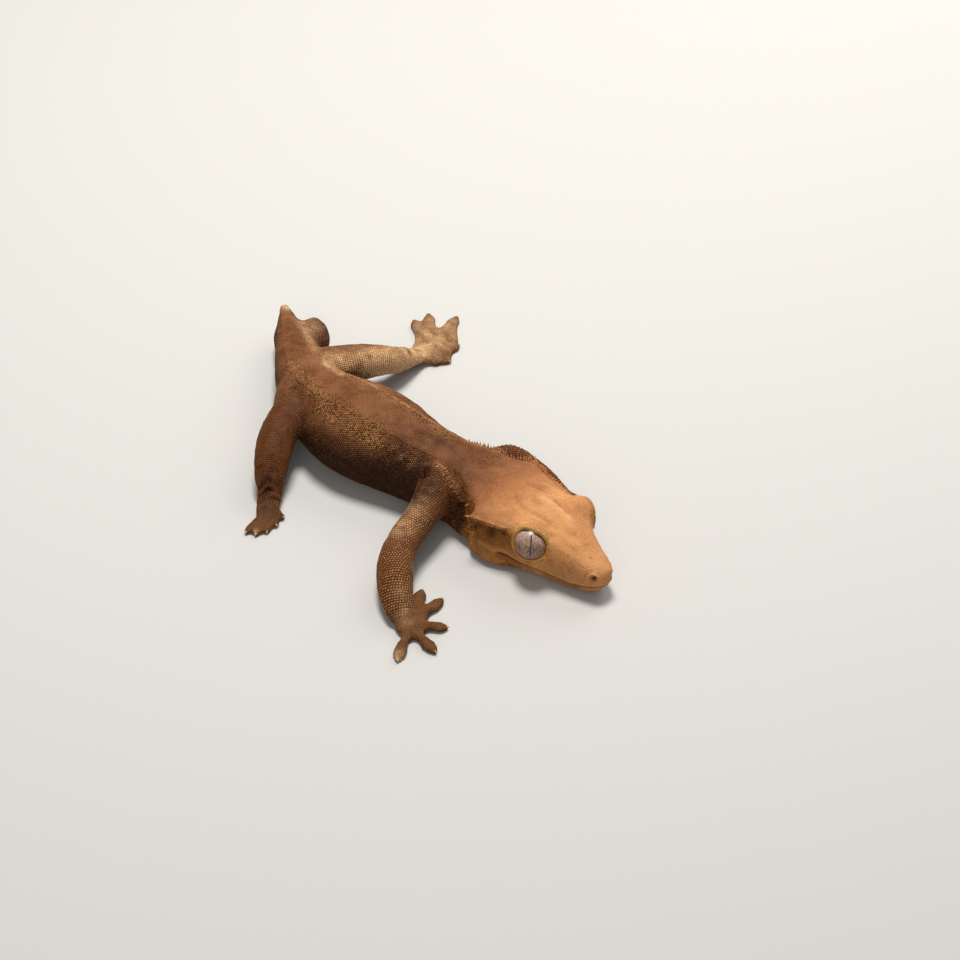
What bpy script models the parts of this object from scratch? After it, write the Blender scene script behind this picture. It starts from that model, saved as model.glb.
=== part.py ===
"""A crested gecko without its tail, life-size, resting flat with the head turned out of the body's line.

Sizes are in millimetres and are made metres when a mesh is built. +Z is up, +X is the animal's left,
the head points to -Y, and the origin is the middle of the belly's flat, on the floor.
"""

import math
import random
from collections import namedtuple

import bmesh
import bpy
from mathutils import Matrix, Vector

MM = 0.001
PARTING_GAP = 0.3
FLOOR_Z = 0.0

# The body's cross-sections, from the snout to the tip of the tail stump. Each stands at x, y on the middle
# line. Its outline runs from the top over the ridge (brow, head crest or back row), the flank (cheek or
# rib side) and the low edge (jaw or belly edge) to the bottom. Widths are half widths, the rest heights.
# Sag moves the low edge to the animal's right, where the soft throat rests. Ledge draws the cheek in under
# the head's crest.
FIELDS = "x y top ridge ridge_z flank flank_z low low_z bottom sag ledge"
Section = namedtuple("Section", FIELDS, defaults=(0.0, 0.0))
BODY = {
    "lip": Section(7.5, -60.3, 5.9, 0.5, 5.7, 0.8, 4.9, 0.6, 4.0, 3.8),
    "snout": Section(7.5, -59.8, 6.7, 1.4, 6.3, 2.0, 4.9, 1.6, 2.8, 2.3),
    "muzzle": Section(7.5, -58.6, 7.3, 2.1, 6.9, 2.9, 5.0, 2.5, 1.8, 1.2),
    "nostrils": Section(7.5, -56.6, 7.9, 2.7, 7.5, 3.8, 5.0, 3.4, 1.2, 0.4),
    "snout_middle": Section(7.5, -53.5, 8.9, 3.5, 8.5, 4.9, 5.0, 4.6, 0.9, 0.0),
    "snout_root": Section(7.6, -50.2, 10.0, 4.6, 9.8, 6.0, 4.9, 5.8, 0.8, -0.3),
    "brow_front": Section(7.8, -47.4, 10.9, 5.7, 10.9, 6.9, 4.7, 6.9, 0.8, -0.4, 0.1),
    "brow": Section(7.9, -44.6, 11.6, 6.7, 11.3, 7.6, 4.5, 7.9, 0.8, -0.4, 0.2),
    "brow_rear": Section(7.9, -41.8, 12.0, 7.8, 10.3, 8.5, 4.3, 9.2, 0.9, -0.4, 0.4),
    "temple": Section(7.9, -39.2, 12.2, 8.9, 9.6, 9.6, 4.1, 10.8, 1.0, -0.3, 0.6, 0.3),
    "jaw": Section(7.9, -36.4, 12.2, 9.6, 9.7, 10.6, 4.0, 11.8, 1.2, -0.2, 0.8, 0.6),
    "jaw_corner": Section(8.0, -33.4, 12.2, 10.8, 9.8, 11.1, 4.1, 11.9, 1.3, 0.0, 0.9, 0.8),
    "crest_corner": Section(8.0, -30.3, 12.1, 11.8, 10.0, 10.8, 4.3, 11.2, 1.4, 0.3, 0.9, 0.9),
    "crest_turn": Section(7.6, -28.0, 12.2, 9.3, 10.5, 10.0, 4.6, 10.3, 1.5, 0.6, 0.9, 0.6),
    "nape": Section(7.0, -25.3, 12.6, 7.4, 11.2, 9.3, 5.0, 9.6, 1.5, 0.6, 0.9, 0.3),
    "nape_rear": Section(6.4, -22.5, 13.1, 6.3, 12.2, 8.8, 5.6, 8.9, 1.5, 0.6, 0.8),
    "shoulder_front": Section(5.5, -19.4, 13.6, 4.8, 13.0, 8.7, 6.2, 8.5, 1.6, 0.5, 0.5),
    "shoulder": Section(4.2, -15.0, 14.0, 4.2, 13.5, 9.0, 6.6, 7.9, 1.7, 0.3, 0.1),
    "chest": Section(3.2, -10.0, 14.4, 4.3, 13.8, 9.2, 6.7, 7.9, 1.5, -0.1),
    "ribs": Section(2.3, -4.8, 14.9, 4.5, 14.2, 10.2, 6.9, 8.3, 1.3, -0.6),
    "belly_front": Section(1.5, 0.6, 15.5, 4.6, 14.7, 11.7, 7.1, 9.1, 1.1, -0.9),
    "belly": Section(0.6, 6.2, 15.8, 4.8, 14.9, 12.5, 7.1, 9.6, 1.1, -1.0),
    "belly_rear": Section(0.1, 11.8, 15.6, 4.9, 14.6, 12.1, 7.0, 9.2, 1.1, -1.0),
    "loin": Section(0.0, 17.2, 14.8, 4.9, 13.8, 10.5, 6.7, 8.2, 1.2, -0.6),
    "hip_front": Section(0.4, 22.2, 13.7, 4.7, 12.7, 8.7, 6.4, 7.0, 1.5, 0.0),
    "hip": Section(1.7, 27.0, 12.6, 4.4, 11.7, 7.4, 6.0, 6.1, 1.8, 0.7),
    "hip_rear": Section(3.9, 31.6, 11.6, 4.1, 10.8, 6.5, 5.8, 5.4, 2.1, 1.2),
    "vent": Section(6.6, 36.2, 10.5, 3.7, 9.8, 5.7, 5.5, 4.8, 2.3, 1.5),
    "tail_root": Section(9.4, 41.0, 9.4, 3.2, 8.8, 4.7, 5.5, 4.0, 2.7, 2.0),
    "stump": Section(11.9, 45.4, 8.5, 2.6, 8.0, 3.7, 5.6, 3.0, 3.4, 2.7),
    "stump_end": Section(14.2, 49.4, 7.8, 1.8, 7.4, 2.6, 5.8, 2.0, 4.2, 3.7),
    "nipple": Section(15.9, 52.4, 7.3, 1.1, 7.1, 1.5, 6.1, 1.2, 5.2, 4.8),
    "nipple_end": Section(17.0, 54.3, 7.1, 0.7, 7.0, 0.9, 6.3, 0.7, 5.7, 5.5),
}
PLACES = list(BODY)
SECTIONS = list(BODY.values())
RING_STEPS = 2
CROWN_DROP = 0.25
UNDER_RISE = 0.2

# Where the body is parted, as station numbers along BODY.
NECK_FRONT = PLACES.index("crest_turn") + 0.2
NECK_REAR = PLACES.index("shoulder_front") - 0.3
HIPS_FRONT = PLACES.index("hip_front") - 0.2
TAIL_FRONT = PLACES.index("vent") + 0.3

# Eyes: the ball's centre and radius, the way it looks, and the rim of skin round it.
EYE_SIDE = 6.9
EYE_Y = -44.35
EYE_Z = 8.0
EYE_RADIUS = 3.65
EYE_LOOK = Vector((0.8, -0.4, 0.42)).normalized()
ORBIT_RADIUS = 4.45
OPENING = ((0.8, 3.55), (1.2, 3.85), (6.0, 7.5))
RIM_RADIUS = 3.9
RIM_REACH = 1.3
RIM_THICKNESS = 0.42
RIM_SIDES = 22

# Mouth: height of the line between the lips, from the tip back to its corner, as y and z.
MOUTH_LINE = [(-62.0, 2.5), (-59.5, 2.6), (-56.0, 2.6), (-51.0, 2.7), (-46.0, 2.9), (-42.0, 2.8), (-38.8, 2.4)]
JAW_HINGE_Y = -37.8
LIP_RADIUS = 0.42
LIP_SINK = 0.16
LIP_SPACING = 2.2
LIP_START_Y = -59.4
LIP_SIDES = 5

NOSTRIL_Y = -58.6
NOSTRIL_Z = 6.0
NOSTRIL_RADIUS = 0.62
NOSTRIL_RIM = 0.9
NOSTRIL_SINK = 0.45

# Ears: an oval cup behind the jaw on each side, longer down the neck than it is high.
EAR_STATION = PLACES.index("crest_turn") - 0.5
EAR_Z = 5.6
EAR_SIZE = (0.9, 1.3, 0.65)

# Swellings beside the vent, under the root of the tail, that a grown male has.
VENT_BULGE_LEFT = (5.5, 5.0)
VENT_BULGE_RIGHT = (-1.2, 3.5)
VENT_BULGE_STATION = PLACES.index("stump") - 0.15
VENT_BULGE_SIZE = (3.3, 4.8, 3.2)

# Limbs: points x, y, z down the middle of the limb, with the half width and half height there.
Joint = namedtuple("Joint", "x y z wide high")
ARM_RIGHT = [
    Joint(0.5, -16.5, 8.2, 4.6, 5.0),
    Joint(-4.5, -19.2, 7.4, 4.5, 4.7),
    Joint(-10.0, -21.7, 6.6, 3.9, 3.8),
    Joint(-16.0, -24.1, 5.8, 3.6, 3.6),
    Joint(-21.4, -27.2, 4.9, 3.8, 3.6),
    Joint(-24.9, -31.2, 4.2, 3.8, 3.3),
    Joint(-27.8, -35.4, 3.2, 3.2, 2.6),
    Joint(-29.8, -39.0, 2.3, 2.6, 1.8),
]
ARM_LEFT = [
    Joint(6.0, -13.6, 5.4, 4.0, 4.2),
    Joint(10.6, -15.0, 4.2, 3.4, 3.6),
    Joint(14.6, -16.9, 4.6, 3.2, 3.3),
    Joint(18.2, -19.3, 5.8, 3.1, 3.2),
    Joint(20.2, -22.4, 4.4, 3.2, 3.1),
    Joint(21.2, -26.6, 3.2, 3.0, 2.6),
    Joint(21.8, -30.4, 2.5, 2.5, 2.1),
    Joint(22.1, -33.4, 1.9, 2.2, 1.7),
]
LEG_RIGHT = [
    Joint(2.0, 29.0, 7.0, 5.2, 5.0),
    Joint(-4.0, 25.3, 7.2, 5.2, 4.8),
    Joint(-10.0, 21.1, 7.8, 4.6, 4.4),
    Joint(-16.0, 16.5, 7.6, 4.0, 4.0),
    Joint(-19.7, 13.3, 6.2, 3.7, 3.7),
    Joint(-22.6, 10.9, 4.4, 3.5, 3.2),
    Joint(-24.8, 9.0, 2.9, 2.9, 2.4),
    Joint(-26.6, 7.3, 1.9, 2.5, 1.7),
]
LEG_LEFT = [
    Joint(1.5, 30.0, 7.0, 5.2, 5.0),
    Joint(8.0, 29.0, 7.2, 5.4, 4.8),
    Joint(13.6, 26.4, 7.6, 4.6, 4.2),
    Joint(19.2, 24.1, 6.9, 3.5, 3.7),
    Joint(22.8, 23.4, 5.6, 2.9, 3.2),
    Joint(26.2, 23.7, 4.2, 2.6, 2.8),
    Joint(29.6, 24.6, 2.9, 2.5, 2.2),
    Joint(32.8, 25.6, 2.0, 2.4, 1.7),
]
LIMB_ROOT = 0.0
LIMB_MIDDLE = 4.0
LIMB_END = 6.8
LIMB_SIDES = 14
LIMB_STEPS = 2

# Hands and feet: the palm's middle and half sizes, then the tip of each toe from the inner one round to the
# outer one. A toe grows from the palm and widens to a pad before its tip.
Palm = namedtuple("Palm", "x y half_length half_width height")
HAND_RIGHT = Palm(-29.8, -40.7, 3.6, 3.3, 2.1)
HAND_RIGHT_TIPS = [(-21.2, -34.6), (-19.3, -39.4), (-23.9, -46.0), (-31.6, -50.3), (-38.6, -46.8)]
HAND_LEFT = Palm(22.0, -35.4, 3.3, 2.7, 2.1)
HAND_LEFT_TIPS = [(19.6, -43.8), (21.3, -43.0), (23.2, -41.4), (24.9, -38.2), (25.4, -32.8)]
FOOT_RIGHT = Palm(-27.4, 6.4, 4.0, 3.4, 2.2)
FOOT_RIGHT_TIPS = [(-28.0, -0.6), (-31.0, -1.0), (-33.9, -0.2), (-36.0, 2.6), (-34.8, 5.6)]
FOOT_LEFT = Palm(35.8, 27.2, 4.2, 4.0, 2.3)
FOOT_LEFT_TIPS = [(37.2, 18.4), (43.4, 22.2), (50.0, 30.4), (46.4, 36.2), (40.4, 37.0)]
TOE_ROOT_WIDTH = 0.95
TOE_NECK_WIDTH = 0.85
TOE_PAD_WIDTH = 1.35
TOE_TIP_WIDTH = 0.5
TOE_ROOT_HEIGHT = 1.9
TOE_PAD_HEIGHT = 1.35
TOE_KNUCKLE_HEIGHT = 1.9
TOE_SIDES = 8
CLAW_LENGTH = 1.1
CLAW_RADIUS = 0.36
WEB_HEIGHT = 0.9
WEB_REACH = 0.52
WEB_NOTCH = 0.8

# Spines: pointed scales in a row from behind each eye round the head's corner and down the back.
SPINE_SIDES = 5
SPINE_SINK = 0.5
CREST_SPINE_SPACING = 1.25
CREST_SPINE_LENGTH = 1.3
CREST_SPINE_RADIUS = 0.42
BACK_SPINE_SPACING = 1.9
BACK_SPINE_LENGTH = 1.15
BACK_SPINE_RADIUS = 0.4
BACK_SPINES_END = PLACES.index("loin") + 0.5
LASH_LENGTH = 0.9
LASH_RADIUS = 0.3
LASH_ANGLES = (-62, -38, -14, 12, 38)
SPINE_SEED = 7


def spline(rows, at):
    """The row of values at station number at, on a smooth curve through all the rows."""
    last = len(rows) - 1
    at = min(max(at, 0.0), float(last))
    i = min(int(at), last - 1)
    u = at - i
    a, b = rows[i], rows[i + 1]
    before = rows[i - 1] if i > 0 else a
    after = rows[i + 2] if i + 2 <= last else b
    values = []
    for p0, p1, p2, p3 in zip(before, a, b, after):
        m1, m2 = (p2 - p0) / 2, (p3 - p1) / 2
        h00 = 2 * u**3 - 3 * u**2 + 1
        h10 = u**3 - 2 * u**2 + u
        h01 = -2 * u**3 + 3 * u**2
        h11 = u**3 - u**2
        values.append(h00 * p1 + h10 * m1 + h01 * p2 + h11 * m2)
    return values


def body_frame(at):
    """The section at station number at, the point on the floor under it, and its way to the left."""
    s = Section(*spline(SECTIONS, at))
    ahead = spline(SECTIONS, at - 0.7)
    behind = spline(SECTIONS, at + 0.7)
    along = Vector((behind[0] - ahead[0], behind[1] - ahead[1], 0)).normalized()
    left = Vector((along.y, -along.x, 0))
    return s, Vector((s.x, s.y, 0)), left, along


def half_outline(s, side):
    """Offset and height of a section's named corners down one side, from the top to the bottom."""
    crown = s.top - CROWN_DROP * (s.top - s.ridge_z)
    under = s.bottom + UNDER_RISE * (s.low_z - s.bottom)
    low = s.low - side * s.sag
    corners = [
        (0.0, s.top),
        (0.5 * s.ridge, crown),
        (s.ridge, s.ridge_z),
        (0.25 * s.ridge + 0.75 * s.flank - s.ledge, 0.55 * s.ridge_z + 0.45 * s.flank_z),
        (s.flank - 0.4 * side * s.sag, s.flank_z),
        (low, s.low_z),
        (0.55 * low, under),
        (0.0, s.bottom),
    ]
    return [(side * offset, z) for offset, z in corners]


def body_ring(at, swell=0.0):
    """Points round the body at a station, swollen outwards by swell."""
    s, foot, left, _ = body_frame(at)
    corners = half_outline(s, 1) + half_outline(s, -1)[-2:0:-1]
    count = len(corners)
    flat = []
    for i in range(count):
        four = [corners[(i + k - 1) % count] for k in range(4)]
        for step in range(RING_STEPS):
            flat.append(spline(four, 1 + step / RING_STEPS))
    if swell:
        flat = swollen(flat, swell)
    return [foot + left * offset + Vector((0, 0, z)) for offset, z in flat]


def swollen(flat, by):
    """A closed outline moved outwards by the distance by, along its own normals."""
    moved = []
    for i, (offset, z) in enumerate(flat):
        (x0, z0), (x1, z1) = flat[i - 1], flat[(i + 1) % len(flat)]
        normal = Vector((z0 - z1, x1 - x0)).normalized()
        moved.append((offset + normal.x * by, z + normal.y * by))
    return moved


def stations(start, end, step):
    count = max(2, round((end - start) / step))
    return [start + (end - start) * i / count for i in range(count + 1)]


def mesh_object(name, points, faces):
    """A closed mesh from points in millimetres, with its faces turned out."""
    mesh = bpy.data.meshes.new(name)
    mesh.from_pydata([p * MM for p in points], [], faces)
    bm = bmesh.new()
    bm.from_mesh(mesh)
    bmesh.ops.triangulate(bm, faces=bm.faces)
    bmesh.ops.recalc_face_normals(bm, faces=bm.faces)
    bm.to_mesh(mesh)
    bm.free()
    obj = bpy.data.objects.new(name, mesh)
    bpy.context.scene.collection.objects.link(obj)
    return obj


def skin_rings(name, rings):
    """A closed tube over a list of rings of equal length, with a flat cap at each end."""
    sides = len(rings[0])
    points = [p for ring in rings for p in ring]
    faces = [tuple(range(sides)), tuple(range(len(points) - sides, len(points)))]
    for r in range(len(rings) - 1):
        for i in range(sides):
            j = (i + 1) % sides
            faces.append((r * sides + i, r * sides + j, (r + 1) * sides + j, (r + 1) * sides + i))
    return mesh_object(name, points, faces)


def body_length(name, start, end, step=0.7, swell=0.0):
    """The body between two stations, shortened by half the parting gap at each cut end."""
    rings = [body_ring(at, swell) for at in stations(start, end, step)]
    for ring, away in ((rings[0], 1), (rings[-1], -1)):
        at = start if away == 1 else end
        if 0 < at < len(SECTIONS) - 1:
            along = body_frame(at)[3] * (away * PARTING_GAP / 2)
            ring[:] = [p + along for p in ring]
    return skin_rings(name, rings)


def limb_ring(limb, at, sides=LIMB_SIDES, swell=0.0):
    """An oval ring square to the limb at a station along it."""
    here = Joint(*spline(limb, at))
    a, b = spline(limb, at - 0.3), spline(limb, at + 0.3)
    along = (Vector(b[:3]) - Vector(a[:3])).normalized()
    side = along.cross(Vector((0, 0, 1))).normalized()
    up = side.cross(along)
    centre = Vector(here[:3])
    ring = []
    for i in range(sides):
        turn = 2 * math.pi * i / sides
        ring.append(
            centre
            + side * ((here.wide + swell) * math.cos(turn))
            + up * ((here.high + swell) * math.sin(turn))
        )
    return ring, along


def limb_length(name, limb, start, end, swell=0.0, inset=PARTING_GAP / 2):
    """The limb between two stations, with the inset taken off each cut end."""
    rings = []
    for at in stations(start, end, 1 / LIMB_STEPS):
        ring, along = limb_ring(limb, at, swell=swell)
        if at == start and start > 0:
            ring = [p + along * inset for p in ring]
        if at == end:
            ring = [p - along * inset for p in ring]
        rings.append(ring)
    return skin_rings(name, rings)


def ball(name, centre, sizes, turn=None, rings=12, sides=20):
    """An ellipsoid with the half sizes given, turned by a matrix."""
    mesh = bpy.data.meshes.new(name)
    bm = bmesh.new()
    bmesh.ops.create_uvsphere(bm, u_segments=sides, v_segments=rings, radius=1.0)
    shape = Matrix.Diagonal((*sizes, 1.0))
    if turn is not None:
        shape = turn.to_4x4() @ shape
    bmesh.ops.transform(bm, verts=bm.verts, matrix=Matrix.Scale(MM, 4) @ Matrix.Translation(centre) @ shape)
    bm.to_mesh(mesh)
    bm.free()
    obj = bpy.data.objects.new(name, mesh)
    bpy.context.scene.collection.objects.link(obj)
    return obj


def cone(name, root, way, length, radius, sides=SPINE_SIDES):
    """A spine with its root sunk in and its point along way."""
    way = way.normalized()
    side = way.orthogonal().normalized()
    other = way.cross(side)
    base = root - way * SPINE_SINK
    points = []
    for i in range(sides):
        turn = 2 * math.pi * i / sides
        points.append(base + side * (radius * math.cos(turn)) + other * (radius * math.sin(turn)))
    points.append(root + way * length)
    faces = [tuple(range(sides))] + [(i, (i + 1) % sides, sides) for i in range(sides)]
    return mesh_object(name, points, faces)


def apply_boolean(obj, operation, other, solver="EXACT"):
    """Joins or cuts obj with another object or collection, and makes the result its mesh."""
    modifier = obj.modifiers.new(operation, "BOOLEAN")
    modifier.operation = operation
    modifier.solver = solver
    if isinstance(other, bpy.types.Collection):
        modifier.operand_type = "COLLECTION"
        modifier.collection = other
    else:
        modifier.object = other
    bpy.context.view_layer.update()
    graph = bpy.context.evaluated_depsgraph_get()
    mesh = bpy.data.meshes.new_from_object(obj.evaluated_get(graph))
    obj.modifiers.clear()
    old = obj.data
    obj.data = mesh
    bpy.data.meshes.remove(old)


def fuse(obj, pieces, solver="EXACT"):
    """Joins closed pieces to obj with one union and removes them."""
    group = bpy.data.collections.new("pieces")
    bpy.context.scene.collection.children.link(group)
    for piece in pieces:
        bpy.context.scene.collection.objects.unlink(piece)
        group.objects.link(piece)
    apply_boolean(obj, "UNION", group, solver)
    for piece in pieces:
        bpy.data.objects.remove(piece)
    bpy.data.collections.remove(group)
    keep_largest(obj)


def cut(obj, *cutters, solver="EXACT"):
    """Takes each cutter out of obj, and removes the cutters."""
    for cutter in cutters:
        apply_boolean(obj, "DIFFERENCE", cutter, solver)
        bpy.data.objects.remove(cutter)
    keep_largest(obj)


def keep_largest(obj):
    """Drops all but the largest closed surface of obj."""
    bm = bmesh.new()
    bm.from_mesh(obj.data)
    unseen = set(bm.verts)
    islands = []
    while unseen:
        island = set()
        edge_of_walk = [unseen.pop()]
        while edge_of_walk:
            vert = edge_of_walk.pop()
            island.add(vert)
            for edge in vert.link_edges:
                near = edge.other_vert(vert)
                if near in unseen:
                    unseen.remove(near)
                    edge_of_walk.append(near)
        islands.append(island)
    islands.sort(key=box_diagonal)
    for island in islands[:-1]:
        bmesh.ops.delete(bm, geom=list(island), context="VERTS")
    bm.to_mesh(obj.data)
    bm.free()


def box_diagonal(verts):
    spans = [max(v.co[k] for v in verts) - min(v.co[k] for v in verts) for k in range(3)]
    return math.hypot(*spans)


def floor_cutter():
    """A slab whose top is the floor."""
    size, depth = 200.0, 10.0
    points = [
        Vector((x * size, y * size, z)) for z in (FLOOR_Z - depth, FLOOR_Z) for x, y in CORNERS
    ]
    return mesh_object("floor_cutter", points, BOX_FACES)


CORNERS = ((-1, -1), (1, -1), (1, 1), (-1, 1))
BOX_FACES = [(0, 1, 2, 3), (4, 5, 6, 7), (0, 1, 5, 4), (1, 2, 6, 5), (2, 3, 7, 6), (3, 0, 4, 7)]


def extruded(name, outline, reach):
    """A prism over an outline of y and z, running reach to both sides of the head."""
    count = len(outline)
    middle = BODY["brow"].x
    points = [Vector((middle + x, y, z)) for x in (-reach, reach) for y, z in outline]
    faces = [tuple(range(count)), tuple(range(count, 2 * count))]
    for i in range(count):
        j = (i + 1) % count
        faces.append((i, j, j + count, i + count))
    return mesh_object(name, points, faces)


def eye_centre(side):
    return Vector((BODY["brow"].x + side * EYE_SIDE, EYE_Y, EYE_Z))


def eye_look(side):
    return Vector((side * EYE_LOOK.x, EYE_LOOK.y, EYE_LOOK.z))


def eye_axes(side):
    """The ways back and up across the eye's opening."""
    look = eye_look(side)
    back = Vector((0, 1, 0))
    back = (back - look * back.dot(look)).normalized()
    return back, look.cross(back) * side


def eye_opening(side):
    """A widening plug along the way the eye looks, which cuts the opening in the skin over the ball."""
    look = eye_look(side)
    back, up = eye_axes(side)
    rings = []
    for reach, radius in OPENING:
        centre = eye_centre(side) + look * reach
        turns = [2 * math.pi * i / RIM_SIDES for i in range(RIM_SIDES)]
        rings.append([centre + (back * math.cos(t) + up * math.sin(t)) * radius for t in turns])
    return skin_rings("opening", rings)


def socket(side):
    return ball("socket", eye_centre(side), (EYE_RADIUS + PARTING_GAP,) * 3, rings=11, sides=20)


def rim_point(side, turn):
    """A point of the rim's middle line, and the way out from the eye's axis there."""
    back, up = eye_axes(side)
    out = back * math.cos(turn) + up * math.sin(turn)
    return eye_centre(side) + eye_look(side) * RIM_REACH + out * RIM_RADIUS, out


def eye_rim(side):
    """The rim of skin round the eye, as a closed ring of round section, thickest above."""
    look = eye_look(side)
    around, across = RIM_SIDES, 5
    points, faces = [], []
    for i in range(around):
        turn = 2 * math.pi * i / around
        middle, out = rim_point(side, turn)
        thick = RIM_THICKNESS * (1.0 + 0.25 * math.sin(turn))
        for j in range(across):
            roll = 2 * math.pi * j / across
            points.append(middle + (out * math.cos(roll) + look * math.sin(roll)) * thick)
    for i in range(around):
        for j in range(across):
            a, b = i * across, (i + 1) % around * across
            k = (j + 1) % across
            faces.append((a + j, b + j, b + k, a + k))
    return mesh_object("eye_rim", points, faces)


def side_point(at, side, height):
    """The body's outermost point at a height on one side of a station, between ridge and low edge."""
    ring = body_ring(at)
    _, foot, left, _ = body_frame(at)
    half = len(ring) // 2
    run = ring[: half + 1] if side > 0 else ring[half:] + ring[:1]
    for a, b in zip(run, run[1:]):
        if (a.z - height) * (b.z - height) <= 0 and a.z != b.z:
            return a.lerp(b, (height - a.z) / (b.z - a.z))
    return foot + left * side


def mouth_height(y):
    for (y0, z0), (y1, z1) in zip(MOUTH_LINE, MOUTH_LINE[1:]):
        if y <= y1:
            return z0 + (z1 - z0) * (y - y0) / (y1 - y0)
    return MOUTH_LINE[-1][1]


def station_at(y):
    """The station of the head whose section stands at y."""
    low, high = 0.0, float(PLACES.index("crest_corner"))
    for _ in range(30):
        middle = (low + high) / 2
        if spline(SECTIONS, middle)[1] < y:
            low = middle
        else:
            high = middle
    return (low + high) / 2


def lip(side, above):
    """A soft round band along one edge of the mouth, from near the snout's tip to the mouth's corner."""
    rings = []
    length = MOUTH_LINE[-1][0] - 0.3 - LIP_START_Y
    count = round(length / LIP_SPACING)
    line = []
    for i in range(count + 1):
        y = LIP_START_Y + length * i / count
        height = mouth_height(y) + (LIP_RADIUS if above else -LIP_RADIUS - PARTING_GAP)
        line.append(side_point(station_at(y), side, height))
    for i, point in enumerate(line):
        along = (line[min(i + 1, count)] - line[max(i - 1, 0)]).normalized()
        out = along.cross(Vector((0, 0, 1))).normalized()
        up = out.cross(along)
        inward = -out if out.x * side > 0 else out
        taper = 0.6 + 0.4 * math.sin(math.pi * (0.15 + 0.75 * i / count))
        turns = [2 * math.pi * j / LIP_SIDES for j in range(LIP_SIDES)]
        middle = point + inward * LIP_SINK
        rings.append([middle + (out * math.cos(t) + up * math.sin(t)) * (LIP_RADIUS * taper) for t in turns])
    return skin_rings("lip", rings)


def ridge_point(at, side):
    """The ridge's point at a station, and the ways out, up and back from it."""
    s, foot, left, along = body_frame(at)
    point = foot + left * (side * s.ridge) + Vector((0, 0, s.ridge_z))
    return point, left * side, along


def spine_row(start, end, spacing, length, radius, side, rise, sweep, draw):
    """Cones along one ridge between two stations, leaning out, up by rise and back by sweep."""
    spines = []
    travelled, last = spacing, None
    for at in stations(start, end, 0.02):
        point, out, along = ridge_point(at, side)
        if last is not None:
            travelled += (point - last).length
        last = point
        if travelled >= spacing:
            travelled = 0.0
            fade = math.sin(math.pi * min(1.0, 0.25 + 0.75 * (end - at) / (end - start))) ** 0.5
            fade = max(fade, 0.4)
            size = fade * draw.uniform(0.85, 1.15)
            way = out + Vector((0, 0, rise)) + along * sweep
            spines.append(cone("spine", point, way, length * size, radius * (0.6 + 0.4 * fade)))
    return spines


def lashes(side):
    """Short pointed scales on the upper rim of the eye."""
    look = eye_look(side)
    made = []
    for angle in LASH_ANGLES:
        root, out = rim_point(side, math.radians(90 - angle))
        root = root + out * (RIM_THICKNESS * 0.6)
        made.append(cone("lash", root, out + look * 0.45, LASH_LENGTH, LASH_RADIUS))
    return made


def mouth_cutter(name, drop):
    """A prism over all that lies under the mouth's line, lowered and brought forward by drop."""
    tip_y, tip_z = MOUTH_LINE[0]
    corner_y, corner_z = MOUTH_LINE[-1]
    below = -5.0
    line = [(y, z - drop) for y, z in MOUTH_LINE[:-1]] + [(corner_y - drop, corner_z - drop)]
    line += [(JAW_HINGE_Y - drop, below), (tip_y - 3, below), (tip_y - 3, tip_z - drop)]
    return extruded(name, line, 20)


def head_and_jaw():
    """The head with its crest and eye rims, parted along the mouth's line from the lower jaw."""
    head = body_length("head", 0, NECK_FRONT, 0.4)
    draw = random.Random(SPINE_SEED)
    pieces, cutters = [], [floor_cutter()]
    for side in (-1, 1):
        nostril = side_point(station_at(NOSTRIL_Y), side, NOSTRIL_Z)
        inward = Vector((-side * NOSTRIL_SINK, NOSTRIL_SINK / 2, 0))
        pieces.append(ball("orbit", eye_centre(side), (ORBIT_RADIUS,) * 3, rings=11, sides=20))
        pieces.append(ball("nostril_rim", nostril + inward, (NOSTRIL_RIM,) * 3, rings=6, sides=10))
        pieces += [lip(side, True), lip(side, False)]
        pieces += lashes(side)
        crest = (PLACES.index("temple") - 0.3, NECK_FRONT - 0.15)
        size = (CREST_SPINE_SPACING, CREST_SPINE_LENGTH, CREST_SPINE_RADIUS)
        pieces += spine_row(*crest, *size, side, 0.25, 0.5, draw)
        cutters.append(eye_opening(side))
        cutters.append(socket(side))
        cutters.append(ball("nostril", nostril, (NOSTRIL_RADIUS,) * 3, rings=6, sides=10))
        cutters.append(ear_cup(side))
    fuse(head, pieces)
    cut(head, *cutters)
    for side in (-1, 1):
        fuse(head, [eye_rim(side)])
        cut(head, socket(side))
    jaw = head.copy()
    jaw.data = head.data.copy()
    jaw.name = "lower_jaw"
    bpy.context.scene.collection.objects.link(jaw)
    cut(head, mouth_cutter("mouth_space", 0.0))
    keep = mouth_cutter("jaw_keep", PARTING_GAP)
    apply_boolean(jaw, "INTERSECT", keep)
    bpy.data.objects.remove(keep)
    keep_largest(jaw)
    return head, jaw


def ear_cup(side):
    """The oval hollow of an ear, in the skin behind the jaw."""
    _, _, left, along = body_frame(EAR_STATION)
    turn = Matrix((left, along, Vector((0, 0, 1)))).transposed()
    return ball("ear", side_point(EAR_STATION, side, EAR_Z), EAR_SIZE, turn, rings=6, sides=10)


def eyes():
    made = []
    for side, name in ((-1, "eye_right"), (1, "eye_left")):
        made.append(ball(name, eye_centre(side), (EYE_RADIUS,) * 3, rings=11, sides=20))
    return made


def vent_bulges():
    """A swelling each side of the vent, joined to the tail's root."""
    _, foot, left, along = body_frame(VENT_BULGE_STATION)
    turn = Matrix((left, along, Vector((0, 0, 1)))).transposed()
    return [
        ball(
            "vent_bulge",
            foot + left * offset + Vector((0, 0, height)),
            VENT_BULGE_SIZE,
            turn,
            rings=8,
            sides=14,
        )
        for offset, height in (VENT_BULGE_RIGHT, VENT_BULGE_LEFT)
    ]


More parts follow.
